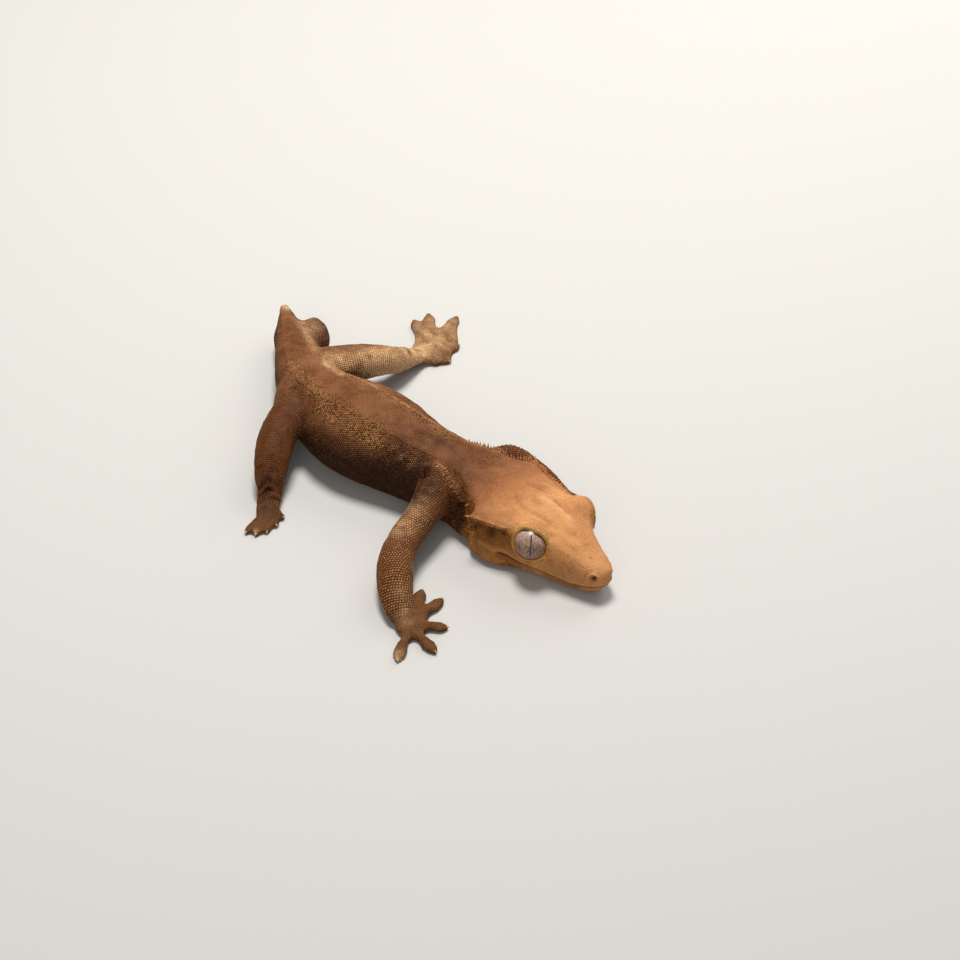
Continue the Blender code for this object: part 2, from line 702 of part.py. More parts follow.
def trunk():
    """Neck, torso, hips and tail stump, with the back's rows of spines."""
    draw = random.Random(SPINE_SEED + 1)
    neck = body_length("neck", NECK_FRONT, NECK_REAR)
    torso = body_length("torso", NECK_REAR, HIPS_FRONT)
    hips = body_length("hips", HIPS_FRONT, TAIL_FRONT)
    stump = body_length("tail_stump", TAIL_FRONT, len(SECTIONS) - 1)
    neck_spines, back_spines = [], []
    crest = (CREST_SPINE_SPACING, CREST_SPINE_LENGTH, CREST_SPINE_RADIUS)
    back = (BACK_SPINE_SPACING, BACK_SPINE_LENGTH, BACK_SPINE_RADIUS)
    for side in (-1, 1):
        neck_spines += spine_row(NECK_FRONT + 0.15, NECK_REAR - 0.12, *crest, side, 0.6, 0.5, draw)
        back_spines += spine_row(NECK_REAR + 0.15, BACK_SPINES_END, *back, side, 1.2, 0.9, draw)
    fuse(neck, neck_spines)
    fuse(torso, back_spines)
    left_bulges = vent_bulges()
    fuse(stump, left_bulges)
    end_of_hips = body_length("hips_space", HIPS_FRONT, TAIL_FRONT + 0.0, swell=PARTING_GAP)
    cut(stump, end_of_hips, hips_end_plane())
    for part in (torso, hips):
        cut(part, floor_cutter())
    return neck, torso, hips, stump


def hips_end_plane():
    """A slab that keeps the stump behind its parting plane."""
    _, foot, left, along = body_frame(TAIL_FRONT)
    centre = foot - along * (10.0 - PARTING_GAP / 2)
    points = []
    for z in (-20.0, 30.0):
        for a, b in CORNERS:
            points.append(centre + left * (a * 30.0) + along * (b * 10.0) + Vector((0, 0, z)))
    return mesh_object("hips_end", points, BOX_FACES)


def toe(root, tip):
    """One toe from its root in the palm to its tip: a neck, a flat pad and a narrow end."""
    root, tip = Vector((*root, 0)), Vector((*tip, 0))
    along = (tip - root).normalized()
    side = Vector((-along.y, along.x, 0))
    length = (tip - root).length
    profile = [
        (0.0, TOE_ROOT_WIDTH, TOE_ROOT_HEIGHT),
        (0.28, TOE_NECK_WIDTH, TOE_KNUCKLE_HEIGHT),
        (0.48, TOE_NECK_WIDTH * 1.05, TOE_KNUCKLE_HEIGHT),
        (0.66, TOE_PAD_WIDTH, TOE_PAD_HEIGHT * 1.05),
        (0.82, TOE_PAD_WIDTH * 0.92, TOE_PAD_HEIGHT),
        (0.95, TOE_TIP_WIDTH * 1.2, TOE_PAD_HEIGHT * 0.85),
        (1.0, TOE_TIP_WIDTH * 0.5, TOE_PAD_HEIGHT * 0.6),
    ]
    rings = []
    for at in stations(0, len(profile) - 1, 0.86):
        share, width, height = spline(profile, at)
        centre = root + along * (length * share) + Vector((0, 0, height * 0.42))
        ring = []
        for i in range(TOE_SIDES):
            turn = 2 * math.pi * i / TOE_SIDES
            ring.append(centre + side * (width * math.cos(turn)) + Vector((0, 0, height * 0.58 * math.sin(turn))))
        rings.append(ring)
    return skin_rings("toe", rings)


def claw(root, tip):
    """A small hooked point past the end of the toe."""
    along = (Vector((*tip, 0)) - Vector((*root, 0))).normalized()
    start = Vector((*tip, 0)) - along * 0.5 + Vector((0, 0, 0.75))
    return cone("claw", start, along + Vector((0, 0, -0.18)), CLAW_LENGTH, CLAW_RADIUS)


def web(palm, tips, heel):
    """Thin skin between neighbouring toes, out to a share of their length."""
    middle = Vector((palm.x, palm.y, 0))
    reach = [middle.lerp(Vector((*tip, 0)), WEB_REACH) for tip in tips]
    outline = [middle + heel * (0.5 * palm.half_length)]
    for i, point in enumerate(reach):
        if i:
            outline.append(middle.lerp((reach[i - 1] + point) / 2, WEB_NOTCH))
        outline.append(point)
    return skin_rings("web", [[p + Vector((0, 0, z)) for p in outline] for z in (-0.3, WEB_HEIGHT)])


def paw(name, palm, tips, limb):
    """A hand or foot: palm, five toes with pads, webs and claws, flat on the floor."""
    middle = Vector((palm.x, palm.y, 0))
    end = Vector(limb[-1][:3]) - Vector(limb[-3][:3])
    along = Vector((end.x, end.y, 0)).normalized()
    side = Vector((-along.y, along.x, 0))
    turn = Matrix((side, along, Vector((0, 0, 1)))).transposed()
    centre = middle + Vector((0, 0, palm.height * 0.45))
    size = (palm.half_width, palm.half_length, palm.height * 0.75)
    body = ball(name, centre, size, turn, rings=8, sides=16)
    pieces = [limb_length("heel", limb, LIMB_END, len(limb) - 1), web(palm, tips, -along)]
    for tip in tips:
        root = middle.lerp(Vector((*tip, 0)), 0.12)
        pieces.append(toe((root.x, root.y), tip))
        pieces.append(claw((root.x, root.y), tip))
    fuse(body, pieces)
    wrist = limb_length("wrist_space", limb, LIMB_MIDDLE, LIMB_END, PARTING_GAP, -PARTING_GAP / 2)
    cut(body, floor_cutter(), wrist)
    return body


def limb(names, joints):
    """Upper and lower length of a limb, the upper one cut to sit against the body."""
    upper = limb_length(names[0], joints, LIMB_ROOT, LIMB_MIDDLE)
    lower = limb_length(names[1], joints, LIMB_MIDDLE, LIMB_END)
    return upper, lower


def clear_of_body(limb_object, *lengths):
    """Cuts the root of a limb back to the gap from the body's lengths it grows from."""
    for start, end in lengths:
        cut(limb_object, body_length("body_space", start, end, swell=PARTING_GAP))


def finish(obj, colour, roughness):
    material = bpy.data.materials.new(obj.name)
    material.use_nodes = True
    shader = material.node_tree.nodes["Principled BSDF"]
    shader.inputs["Base Color"].default_value = (*colour, 1.0)
    shader.inputs["Roughness"].default_value = roughness
    shader.inputs["Metallic"].default_value = 0.0
    obj.data.materials.clear()
    obj.data.materials.append(material)
    obj.data.shade_smooth()
    obj.data.set_sharp_from_angle(angle=math.radians(50))


HEAD_COLOUR = (0.48, 0.22, 0.09)
BODY_COLOUR = (0.22, 0.095, 0.05)
LIMB_COLOUR = (0.24, 0.11, 0.06)
EYE_COLOUR = (0.36, 0.26, 0.22)


def main():
    for obj in list(bpy.data.objects):
        bpy.data.objects.remove(obj)
    head, jaw = head_and_jaw()
    neck, torso, hips, stump = trunk()
    for obj in (head, jaw, neck):
        finish(obj, HEAD_COLOUR, 0.7)
    for obj in (torso, hips, stump):
        finish(obj, BODY_COLOUR, 0.75)
    for obj in eyes():
        finish(obj, EYE_COLOUR, 0.15)
    limbs = {
        "right": (("upper_arm_right", "forearm_right"), ARM_RIGHT, "hand_right", HAND_RIGHT, HAND_RIGHT_TIPS),
        "left": (("upper_arm_left", "forearm_left"), ARM_LEFT, "hand_left", HAND_LEFT, HAND_LEFT_TIPS),
        "hind_right": (("thigh_right", "shank_right"), LEG_RIGHT, "foot_right", FOOT_RIGHT, FOOT_RIGHT_TIPS),
        "hind_left": (("thigh_left", "shank_left"), LEG_LEFT, "foot_left", FOOT_LEFT, FOOT_LEFT_TIPS),
    }
    for names, joints, paw_name, palm, tips in limbs.values():
        upper, lower = limb(names, joints)
        clear_of_body(upper, (PLACES.index("jaw_corner"), len(SECTIONS) - 1))
        cut(lower, floor_cutter())
        foot = paw(paw_name, palm, tips, joints)
        for obj in (upper, lower, foot):
            finish(obj, LIMB_COLOUR, 0.75)


if __name__ == "__main__":
    main()
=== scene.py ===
"""The finished look of a life-size crested gecko model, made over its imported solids.

Written as an add-on and run as a script. Lengths in the tables are millimetres. +Z is up, +X is the
animal's left and the head points to -Y. Meshes are made in millimetres and turned to metres at the end.
"""

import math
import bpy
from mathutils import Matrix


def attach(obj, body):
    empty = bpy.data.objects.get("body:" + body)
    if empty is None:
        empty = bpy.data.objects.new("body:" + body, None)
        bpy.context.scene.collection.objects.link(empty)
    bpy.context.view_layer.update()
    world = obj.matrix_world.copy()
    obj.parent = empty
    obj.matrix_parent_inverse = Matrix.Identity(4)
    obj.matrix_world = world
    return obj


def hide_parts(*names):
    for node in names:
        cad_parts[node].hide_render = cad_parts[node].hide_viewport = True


bl_info = {
    "name": "Crested Gecko Model",
    "version": (1, 0, 0),
    "blender": (4, 5, 0),
    "location": "3D View > Sidebar > Gecko",
    "description": "Skin, scales, spines, eyes and claws of a life-size crested gecko model",
    "category": "Mesh",
}

from collections import namedtuple

import bmesh
import bpy
import numpy as np
from mathutils import Matrix, Vector, kdtree, noise
from mathutils.bvhtree import BVHTree

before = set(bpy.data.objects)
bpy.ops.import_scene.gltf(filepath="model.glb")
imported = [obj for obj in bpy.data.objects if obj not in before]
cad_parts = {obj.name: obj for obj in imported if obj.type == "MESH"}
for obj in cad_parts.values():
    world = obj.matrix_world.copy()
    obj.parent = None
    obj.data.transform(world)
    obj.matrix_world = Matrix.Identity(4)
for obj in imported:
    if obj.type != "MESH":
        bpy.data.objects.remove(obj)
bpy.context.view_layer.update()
MM = 0.001

# The body's cross-sections, from the snout to the tip of the tail stump. Each stands at x, y on the middle
# line. Its outline runs from the top over the ridge (brow, head crest or back row), the flank (cheek or
# rib side) and the low edge (jaw or belly edge) to the bottom. Widths are half widths, the rest heights.
# Sag moves the low edge to the animal's right, where the soft throat rests. Ledge draws the cheek in under
# the head's crest.
Section = namedtuple(
    "Section", "x y top ridge ridge_z flank flank_z low low_z bottom sag ledge", defaults=(0.0, 0.0)
)
BODY = {
    "lip": Section(7.5, -60.3, 5.9, 0.5, 5.7, 0.8, 4.9, 0.6, 4.0, 3.8),
    "snout": Section(7.5, -59.8, 6.7, 1.4, 6.3, 2.0, 4.9, 1.6, 2.8, 2.3),
    "muzzle": Section(7.5, -58.6, 7.3, 2.1, 6.9, 2.9, 5.0, 2.5, 1.8, 1.2),
    "nostrils": Section(7.5, -56.6, 7.9, 2.7, 7.5, 3.8, 5.0, 3.4, 1.2, 0.4),
    "snout_middle": Section(7.5, -53.5, 8.9, 3.5, 8.5, 4.9, 5.0, 4.6, 0.9, 0.0),
    "snout_root": Section(7.6, -50.2, 10.0, 4.6, 9.8, 6.0, 4.9, 5.8, 0.8, -0.3),
    "brow_front": Section(7.8, -47.4, 10.9, 5.7, 10.9, 6.9, 4.7, 6.9, 0.8, -0.4, 0.1),
    "brow": Section(7.9, -44.6, 11.6, 6.7, 11.3, 7.6, 4.5, 7.9, 0.8, -0.4, 0.2),
    "brow_rear": Section(7.9, -41.8, 12.0, 7.8, 10.3, 8.5, 4.3, 9.2, 0.9, -0.4, 0.4),
    "temple": Section(7.9, -39.2, 12.2, 8.9, 9.6, 9.6, 4.1, 10.8, 1.0, -0.3, 0.6, 0.3),
    "jaw": Section(7.9, -36.4, 12.2, 9.6, 9.7, 10.6, 4.0, 11.8, 1.2, -0.2, 0.8, 0.6),
    "jaw_corner": Section(8.0, -33.4, 12.2, 10.8, 9.8, 11.1, 4.1, 11.9, 1.3, 0.0, 0.9, 0.8),
    "crest_corner": Section(8.0, -30.3, 12.1, 11.8, 10.0, 10.8, 4.3, 11.2, 1.4, 0.3, 0.9, 0.9),
    "crest_turn": Section(7.6, -28.0, 12.2, 9.3, 10.5, 10.0, 4.6, 10.3, 1.5, 0.6, 0.9, 0.6),
    "nape": Section(7.0, -25.3, 12.6, 7.4, 11.2, 9.3, 5.0, 9.6, 1.5, 0.6, 0.9, 0.3),
    "nape_rear": Section(6.4, -22.5, 13.1, 6.3, 12.2, 8.8, 5.6, 8.9, 1.5, 0.6, 0.8),
    "shoulder_front": Section(5.5, -19.4, 13.6, 4.8, 13.0, 8.7, 6.2, 8.5, 1.6, 0.5, 0.5),
    "shoulder": Section(4.2, -15.0, 14.0, 4.2, 13.5, 9.0, 6.6, 7.9, 1.7, 0.3, 0.1),
    "chest": Section(3.2, -10.0, 14.4, 4.3, 13.8, 9.2, 6.7, 7.9, 1.5, -0.1),
    "ribs": Section(2.3, -4.8, 14.9, 4.5, 14.2, 10.2, 6.9, 8.3, 1.3, -0.6),
    "belly_front": Section(1.5, 0.6, 15.5, 4.6, 14.7, 11.7, 7.1, 9.1, 1.1, -0.9),
    "belly": Section(0.6, 6.2, 15.8, 4.8, 14.9, 12.5, 7.1, 9.6, 1.1, -1.0),
    "belly_rear": Section(0.1, 11.8, 15.6, 4.9, 14.6, 12.1, 7.0, 9.2, 1.1, -1.0),
    "loin": Section(0.0, 17.2, 14.8, 4.9, 13.8, 10.5, 6.7, 8.2, 1.2, -0.6),
    "hip_front": Section(0.4, 22.2, 13.7, 4.7, 12.7, 8.7, 6.4, 7.0, 1.5, 0.0),
    "hip": Section(1.7, 27.0, 12.6, 4.4, 11.7, 7.4, 6.0, 6.1, 1.8, 0.7),
    "hip_rear": Section(3.9, 31.6, 11.6, 4.1, 10.8, 6.5, 5.8, 5.4, 2.1, 1.2),
    "vent": Section(6.6, 36.2, 10.5, 3.7, 9.8, 5.7, 5.5, 4.8, 2.3, 1.5),
    "tail_root": Section(9.4, 41.0, 9.4, 3.2, 8.8, 4.7, 5.5, 4.0, 2.7, 2.0),
    "stump": Section(11.9, 45.4, 8.5, 2.6, 8.0, 3.7, 5.6, 3.0, 3.4, 2.7),
    "stump_end": Section(14.2, 49.4, 7.8, 1.8, 7.4, 2.6, 5.8, 2.0, 4.2, 3.7),
    "nipple": Section(15.9, 52.4, 7.3, 1.1, 7.1, 1.5, 6.1, 1.2, 5.2, 4.8),
    "nipple_end": Section(17.0, 54.3, 7.1, 0.7, 7.0, 0.9, 6.3, 0.7, 5.7, 5.5),
}
PLACES = {name: number for number, name in enumerate(BODY)}
SECTIONS = list(BODY.values())

# The head's finer mesh lies left of this x, forward of this y and above this z. No skin is lower than the
# last value.
HEAD_LIMITS = (-9, -26.0, 0.4)
LOWEST_SKIN = 0.02

# The skin is evened by moving each point this share of the way to its neighbours' mean, this many times: all
# over after the first mesh, in the joins, and again once the head's mesh is finer.
EASING = 0.5
FIRST_ROUNDS = 3
JOIN_ROUNDS = 22
LAST_ROUNDS = 2

# How far the outline has come down half-way to the ridge, and come up half-way out from the belly's middle,
# as shares of the height there. Then the steps between two corners of a ring, and between two rings.
CROWN_DROP = 0.25
UNDER_RISE = 0.2
RING_STEPS = 6
BODY_STEP = 0.12

# Limbs: points x, y, z down the middle of the limb, with the half width and half height there.
Joint = namedtuple("Joint", "x y z wide high")
LIMBS = {
    "arm_right": [
        Joint(0.6, -17.0, 8.2, 4.2, 5.0),
        Joint(-4.3, -19.7, 7.4, 3.9, 4.6),
        Joint(-9.8, -22.1, 6.6, 3.45, 3.7),
        Joint(-15.9, -24.3, 5.8, 3.4, 3.5),
        Joint(-21.3, -27.3, 4.9, 3.6, 3.5),
        Joint(-24.9, -31.1, 4.2, 3.8, 3.2),
        Joint(-28.0, -35.2, 2.9, 3.5, 2.3),
        Joint(-29.9, -39.0, 1.5, 3.0, 1.3),
    ],
    "arm_left": [
        Joint(6.0, -13.6, 5.4, 4.0, 4.2),
        Joint(10.6, -15.0, 4.2, 3.4, 3.6),
        Joint(14.6, -16.9, 4.6, 3.2, 3.3),
        Joint(18.2, -19.3, 5.8, 3.1, 3.2),
        Joint(20.2, -22.4, 4.4, 3.2, 3.1),
        Joint(21.2, -26.6, 3.2, 3.0, 2.6),
        Joint(21.8, -30.4, 2.4, 2.5, 2.0),
        Joint(22.1, -33.4, 1.4, 2.3, 1.2),
    ],
    "leg_right": [
        Joint(2.0, 29.0, 7.0, 5.2, 5.0),
        Joint(-4.0, 25.3, 7.2, 5.2, 4.8),
        Joint(-10.0, 21.1, 7.6, 4.4, 4.2),
        Joint(-16.5, 16.7, 7.3, 4.1, 3.9),
        Joint(-20.3, 13.6, 6.0, 3.9, 3.6),
        Joint(-23.0, 11.1, 4.2, 3.4, 3.0),
        Joint(-25.0, 8.7, 2.7, 2.9, 2.1),
        Joint(-27.4, 6.6, 1.4, 2.8, 1.3),
    ],
    "leg_left": [
        Joint(1.5, 30.0, 7.0, 5.2, 5.0),
        Joint(8.0, 29.0, 7.2, 5.4, 4.8),
        Joint(13.6, 26.4, 7.6, 4.6, 4.2),
        Joint(19.2, 24.1, 6.9, 3.5, 3.7),
        Joint(22.8, 23.4, 5.6, 2.9, 3.2),
        Joint(26.2, 23.7, 4.2, 2.6, 2.8),
        Joint(29.6, 24.4, 2.7, 2.6, 2.1),
        Joint(32.8, 25.0, 1.5, 3.0, 1.3),
    ],
}
LIMB_SIDES = 28
LIMB_STEP = 0.12

# Hands and feet: the palm's middle, half sizes and height. Webs are how far the skin between each two toes
# reaches, as a share of the way to their tips. Broad widens the toes' pads. Then comes the tip of each toe,
# from the inner one round to the outer one.
Paw = namedtuple("Paw", "x y half_length half_width height webs broad tips")
PAWS = {
    "arm_right": Paw(
        -29.6, -40.7, 3.6, 3.3, 2.1, (0.62, 0.52, 0.48, 0.46), 1.22,
        [(-19.8, -34.0), (-18.6, -39.1), (-23.6, -46.4), (-30.8, -50.4), (-38.4, -47.0)],
    ),
    "arm_left": Paw(
        22.0, -35.4, 3.3, 2.7, 2.1, (0.5, 0.5, 0.5, 0.5), 1.0,
        [(19.6, -43.8), (21.3, -43.0), (23.2, -41.4), (24.9, -38.2), (25.4, -32.8)],
    ),
    "leg_right": Paw(
        -28.0, 6.0, 4.2, 2.9, 2.2, (0.46, 0.46, 0.44, 0.44), 0.8,
        [(-26.8, 1.6), (-29.8, 0.6), (-32.8, 0.4), (-35.2, 1.4), (-36.4, 3.4)],
    ),
    "leg_left": Paw(
        36.0, 24.8, 4.8, 4.8, 2.3, (0.86, 0.96, 0.64, 0.74), 1.3,
        [(36.8, 19.0), (42.9, 22.4), (50.2, 31.2), (45.9, 36.6), (41.4, 36.8)],
    ),
}
# A toe's profile as the share of its length, its half width and its height.
TOE = [
    (0.0, 0.95, 1.9), (0.28, 0.85, 1.9), (0.48, 0.9, 1.9), (0.66, 1.35, 1.42),
    (0.82, 1.25, 1.35), (0.95, 0.6, 1.15), (1.0, 0.25, 0.8),
]
TOE_SIDES = 16
TOE_STEP = 0.2

# A palm's half thickness and the height of its middle, as shares of its height. A toe's, as shares of the
# toe's height, and where it starts between the palm's middle and its tip. Then the webs between the toes.
PALM_THICK = 0.75
PALM_RISE = 0.45
TOE_THICK = 0.58
TOE_RISE = 0.42
TOE_ROOT = 0.12
WEB_LOWEST = -0.3
WEB_HEIGHT = 0.9
WEB_ALONG_TOE = 0.95

# Eyes: the side, the ball's centre and radius, and the ways that the opening and the pupil face. Edge is how
# far from the opening's middle the skin's edge lies over the ball, in degrees, at its back, top, front and
# bottom. Lash is how long the small spines over it are. The head is turned, so the right eye is seen full
# and the left one only past its brow.
Eye = namedtuple("Eye", "side centre radius opening pupil edge lash")
EYES = {
    "right": Eye(
        side=-1,
        centre=(1.0, -44.35, 8.0),
        radius=3.65,
        opening=(-0.8, -0.4, 0.42),
        pupil=(-0.647, -0.571, 0.502),
        edge=(71, 55, 79, 54),
        lash=0.2,
    ),
    "left": Eye(
        side=1,
        centre=(14.6, -44.35, 7.9),
        radius=3.5,
        opening=(0.95, -0.2, -0.02),
        pupil=(0.85, -0.5, 0.1),
        edge=(62, 42, 52, 64),
        lash=0.36,
    ),
}

# The eyeball's steps round and from pole to pole. The radius of the flesh round each eye, and how many
# degrees past the skin's edge its swollen rim is highest. The eyeball is painted dark as shade under the
# lid, from the first to the second angle. Then the skin's height over the eyeball, at angles past the edge,
# from under it to the flesh round it.
EYE_SEGMENTS = (96, 64)
ORBIT_RADIUS = 4.45
RIM_WIDTH = 7.0
LID_SHADE = (-9, -4)
LID_ANGLES = [-60, -3, 0, 3, 9, 15]
LID_HEIGHTS = [-0.4, -0.35, 0.12, 0.34, 0.4, 0.3]

# The line between the lips, from the snout's tip back to the corner, as y and z.
MOUTH_LINE = [
    (-62.0, 3.1), (-59.8, 3.0), (-58.3, 2.75), (-56.2, 2.3),
    (-53.5, 2.05), (-50.0, 2.2), (-46.5, 2.35), (-43.2, 2.5),
    (-41.6, 2.9), (-40.2, 3.4), (-38.6, 3.55), (-36.9, 3.2),
]

# The lips' forms beside that line, each as offset from it, half width and height. The line is deepest at the
# snout and shallow at its corner, where the lips end. Plates are the smooth large scales along both lips.
LIP_LINE = (0.42, 0.22, 0.22)
LIP_END = (-38.2, -36.9)
UPPER_LIP = (0.6, 0.4, 0.2)
LOWER_LIP = (-0.55, 0.32, 0.14)
CHIN_DEPTH = 0.1
PLATE_LENGTH = 1.05
PLATE_SEAM = 0.14
PLATE_DEPTH = 0.1

# Nostrils: offset from the snout's middle, y and z. Then the hole's depth and half width. Then its rim, as
# how far out from the hole it stands, half width and height, and how much the hole is drawn out each way.
NOSTRIL_PLACE = (2.62, -58.9, 5.5)
NOSTRIL_HOLE = (1.1, 0.42)
NOSTRIL_RIM = (0.9, 0.3, 0.28)
NOSTRIL_SQUEEZE = (1.0, 0.75, 1.1)

# Ears: where along the body, how far out as a share of its half width, and how high, then the hollow.
EAR_PLACE = (PLACES["crest_turn"] - 0.5, 1.02, 5.6)
EAR_HOLE = (0.7, 0.5)
EAR_SQUEEZE = (1.0, 1.0, 0.55)

# Small dark spots on the snout and the lip.
SPOTS = [(6.95, -55.66, 8.18), (2.35, -52.61, 3.47)]

# Folds and hollows of the skin: the points x, y, z along each, its half width, and how far it stands out.
FOLDS = {
    "crest_left_set_in": ([(17.6, -36.0, 9.6), (18.6, -31.6, 9.8), (17.0, -28.4, 10.4)], 2.6, -1.2),
    "crest_right_corner": ([(-3.9, -30.2, 9.2), (-3.4, -28.6, 9.6)], 1.0, 0.8),
    "thigh_left_edge": ([(-11.6, 23.0, 9.0), (-9.6, 26.0, 8.6), (-5.0, 29.6, 8.6)], 2.6, -1.2),
    "crown_hollow_left": ([(10.2, -34.0, 12.0), (11.4, -36.4, 11.9), (11.9, -38.8, 11.6)], 0.75, -0.65),
    "crown_swell_left": ([(11.6, -33.6, 11.5), (12.8, -36.2, 11.2), (13.2, -38.2, 10.9)], 0.8, 0.35),
    "crown_hollow_right": ([(5.7, -34.2, 12.0), (4.5, -36.4, 11.9), (3.9, -38.8, 11.6)], 0.8, -0.4),
    "brow_groove_left": (
        [(11.6, -39.6, 11.6), (10.9, -42.2, 11.7), (10.6, -44.6, 11.5), (10.5, -46.8, 11.1)], 0.65, -0.6,
    ),
    "brow_groove_right": (
        [(4.2, -39.6, 11.6), (4.9, -42.2, 11.7), (5.2, -44.6, 11.5), (5.3, -46.8, 11.1)], 0.7, -0.42,
    ),
    "snout_ridge_left": ([(10.6, -47.8, 10.6), (10.2, -50.6, 9.6), (9.6, -54.0, 8.6)], 0.7, 0.26),
    "snout_ridge_right": ([(5.2, -47.8, 10.6), (5.3, -50.6, 9.6), (5.6, -54.0, 8.6)], 0.7, 0.26),
    "snout_dip": ([(7.8, -49.0, 10.4), (7.7, -52.6, 9.3)], 1.2, -0.32),
    "neck_fold_right": (
        [(-1.5, -26.6, 8.2), (-1.9, -27.4, 6.6), (-2.6, -28.9, 4.8), (-3.2, -30.0, 2.6)], 0.42, 0.42,
    ),
    "neck_crease_right": (
        [(-1.0, -25.6, 8.2), (-1.4, -26.3, 6.6), (-2.0, -27.6, 4.6), (-2.6, -28.6, 2.4)], 0.5, -0.4,
    ),
    "neck_fold_left": ([(16.4, -26.6, 8.2), (17.2, -27.4, 6.4), (17.6, -28.6, 4.4)], 0.42, 0.4),
    "neck_crease_left": ([(15.8, -25.4, 8.2), (16.4, -26.1, 6.4), (16.8, -27.4, 4.4)], 0.5, -0.4),
    "jowl_crease_right": ([(-3.6, -36.9, 3.1), (-3.7, -34.6, 3.6), (-3.4, -32.4, 3.2)], 0.4, -0.3),
    "shoulder_fold_right": (
        [(-4.6, -13.6, 10.2), (-2.6, -15.0, 12.2), (-1.6, -17.4, 12.4), (-2.4, -19.6, 11.0)], 0.7, 0.3,
    ),
    "shoulder_hollow_right": ([(-4.2, -15.6, 10.8), (-3.4, -17.2, 11.2)], 1.0, -0.75),
    "armpit_crease_right": ([(-4.6, -11.6, 9.0), (-6.6, -13.6, 7.0), (-8.0, -16.0, 5.0)], 0.6, -0.35),
    "elbow_crease_right": ([(-18.6, -22.4, 7.6), (-20.4, -24.6, 8.2), (-22.0, -27.0, 7.6)], 0.4, -0.16),
    "wrist_crease_right": ([(-31.6, -37.2, 3.4), (-29.4, -38.4, 4.0), (-27.2, -38.8, 3.0)], 0.35, -0.22),
    "groin_crease_right": ([(-1.6, 20.6, 10.6), (-5.6, 18.2, 8.4), (-9.0, 15.6, 5.0)], 0.7, -0.45),
    "groin_crease_left": ([(4.6, 22.4, 11.4), (8.6, 23.0, 9.0), (12.0, 22.4, 5.6)], 0.7, -0.4),
    "rump_crease_right": ([(1.4, 32.6, 9.6), (-1.6, 31.6, 7.6), (-4.0, 29.6, 5.0)], 0.8, -0.35),
    "tail_ridge_left": (
        [(14.6, 45.6, 7.4), (12.4, 40.0, 8.6), (9.4, 34.0, 9.8), (6.6, 28.6, 11.2), (5.6, 23.6, 12.4)],
        0.8, 0.3,
    ),
    "tail_groove_left": (
        [(11.9, 44.6, 8.8), (9.9, 39.0, 9.8), (7.2, 33.6, 11.0), (4.6, 28.6, 12.1)], 0.9, -0.22,
    ),
    "ankle_crease_a": ([(-28.6, 10.6, 2.6), (-25.0, 9.4, 5.2), (-22.4, 7.6, 2.6)], 0.38, -0.57),
    "ankle_crease_b": ([(-29.6, 9.2, 2.2), (-26.0, 8.0, 4.2), (-23.6, 6.0, 2.4)], 0.38, -0.57),
    "ankle_crease_c": ([(-30.2, 7.6, 2.0), (-27.0, 6.4, 3.6), (-24.4, 4.6, 2.0)], 0.38, -0.49),
    "ankle_crease_d": ([(-30.8, 6.0, 2.0), (-28.0, 4.8, 3.0), (-25.4, 3.2, 1.8)], 0.38, -0.42),
}

# The skin's unevenness all over, coarse and fine, as height and how many swells come to a millimetre.
UNEVEN = ((0.13, 0.45), (0.05, 1.3))

# Bands down the sides of the back where tan raised scales stand among nearly black ones.
BANDS = [
    [
        (0.6, 31.0, 11.0), (-2.4, 25.0, 12.6), (-4.2, 18.4, 13.8),
        (-4.8, 11.8, 14.6), (-4.2, 4.6, 14.6), (-2.8, -3.0, 14.2),
    ],
    [
        (-6.6, 13.0, 13.4), (-6.8, 6.0, 13.2), (-5.6, -1.0, 12.6),
        (-4.0, -8.0, 12.6), (-2.2, -14.0, 12.6),
    ],
    [
        (5.4, 22.0, 12.6), (5.2, 16.0, 13.8), (5.6, 9.0, 14.6),
        (6.2, 2.0, 14.4), (7.0, -5.0, 14.0), (7.8, -12.0, 13.6),
    ],
]

# The edge of the right crest, from the shoulders forward to its corner and along the ledge to the eye. The
# left one follows the head's own ridge.
CREST_RIGHT = [
    (-0.6, -14.8, 13.6), (-0.7, -17.6, 13.2), (-0.8, -20.7, 12.4), (-1.5, -23.3, 11.2),
    (-2.3, -25.6, 10.1), (-3.3, -27.8, 9.6), (-4.4, -29.5, 9.3), (-3.0, -32.8, 9.2),
    (-2.3, -35.2, 9.1), (-1.7, -37.5, 9.3), (-0.9, -39.6, 9.8),
]

# The crest's edge as height and half width. The hollow under its ledge as depth and half width, and how far
# it lies from the edge, outwards, back and up.
CREST_EDGE = (0.65, 0.42)
LEDGE = (0.55, 0.85)
LEDGE_BELOW = (-0.3, 0, -1.5)

# Rows of spines: the stretch of the row from its front, spacing, then length at the front, in the middle
# and at the back, base half width, and how far they lean outwards, back and up.
Spines = namedtuple("Spines", "row side start end spacing long wide lean")
SPINES = [
    Spines("crest", -1, 0.0, 0.61, 0.55, (0.7, 1.3, 1.45), 0.23, (1.1, 0.1, 0.3)),
    Spines("crest", -1, 0.61, 1.0, 0.6, (0.8, 0.5, 0.3), 0.24, (1.0, 0.1, 0.35)),
    Spines("crest", 1, 0.0, 0.62, 0.6, (0.6, 1.05, 1.2), 0.26, (0.55, 0.6, 0.6)),
    Spines("crest", 1, 0.62, 1.0, 0.7, (0.85, 0.5, 0.35), 0.26, (0.7, 0.2, 0.7)),
    Spines("back", -1, 0.0, 1.0, 0.85, (0.55, 0.35, 0.22), 0.2, (0.4, 0.7, 0.7)),
    Spines("back", 1, 0.0, 1.0, 0.85, (0.7, 0.42, 0.25), 0.2, (0.4, 0.7, 0.7)),
]

# How far spines stray from their row and from their way, and how their lengths vary.
SPINE_STRAY = 0.06
SPINE_TURN = 0.14
SPINE_LENGTHS = (0.75, 1.2)

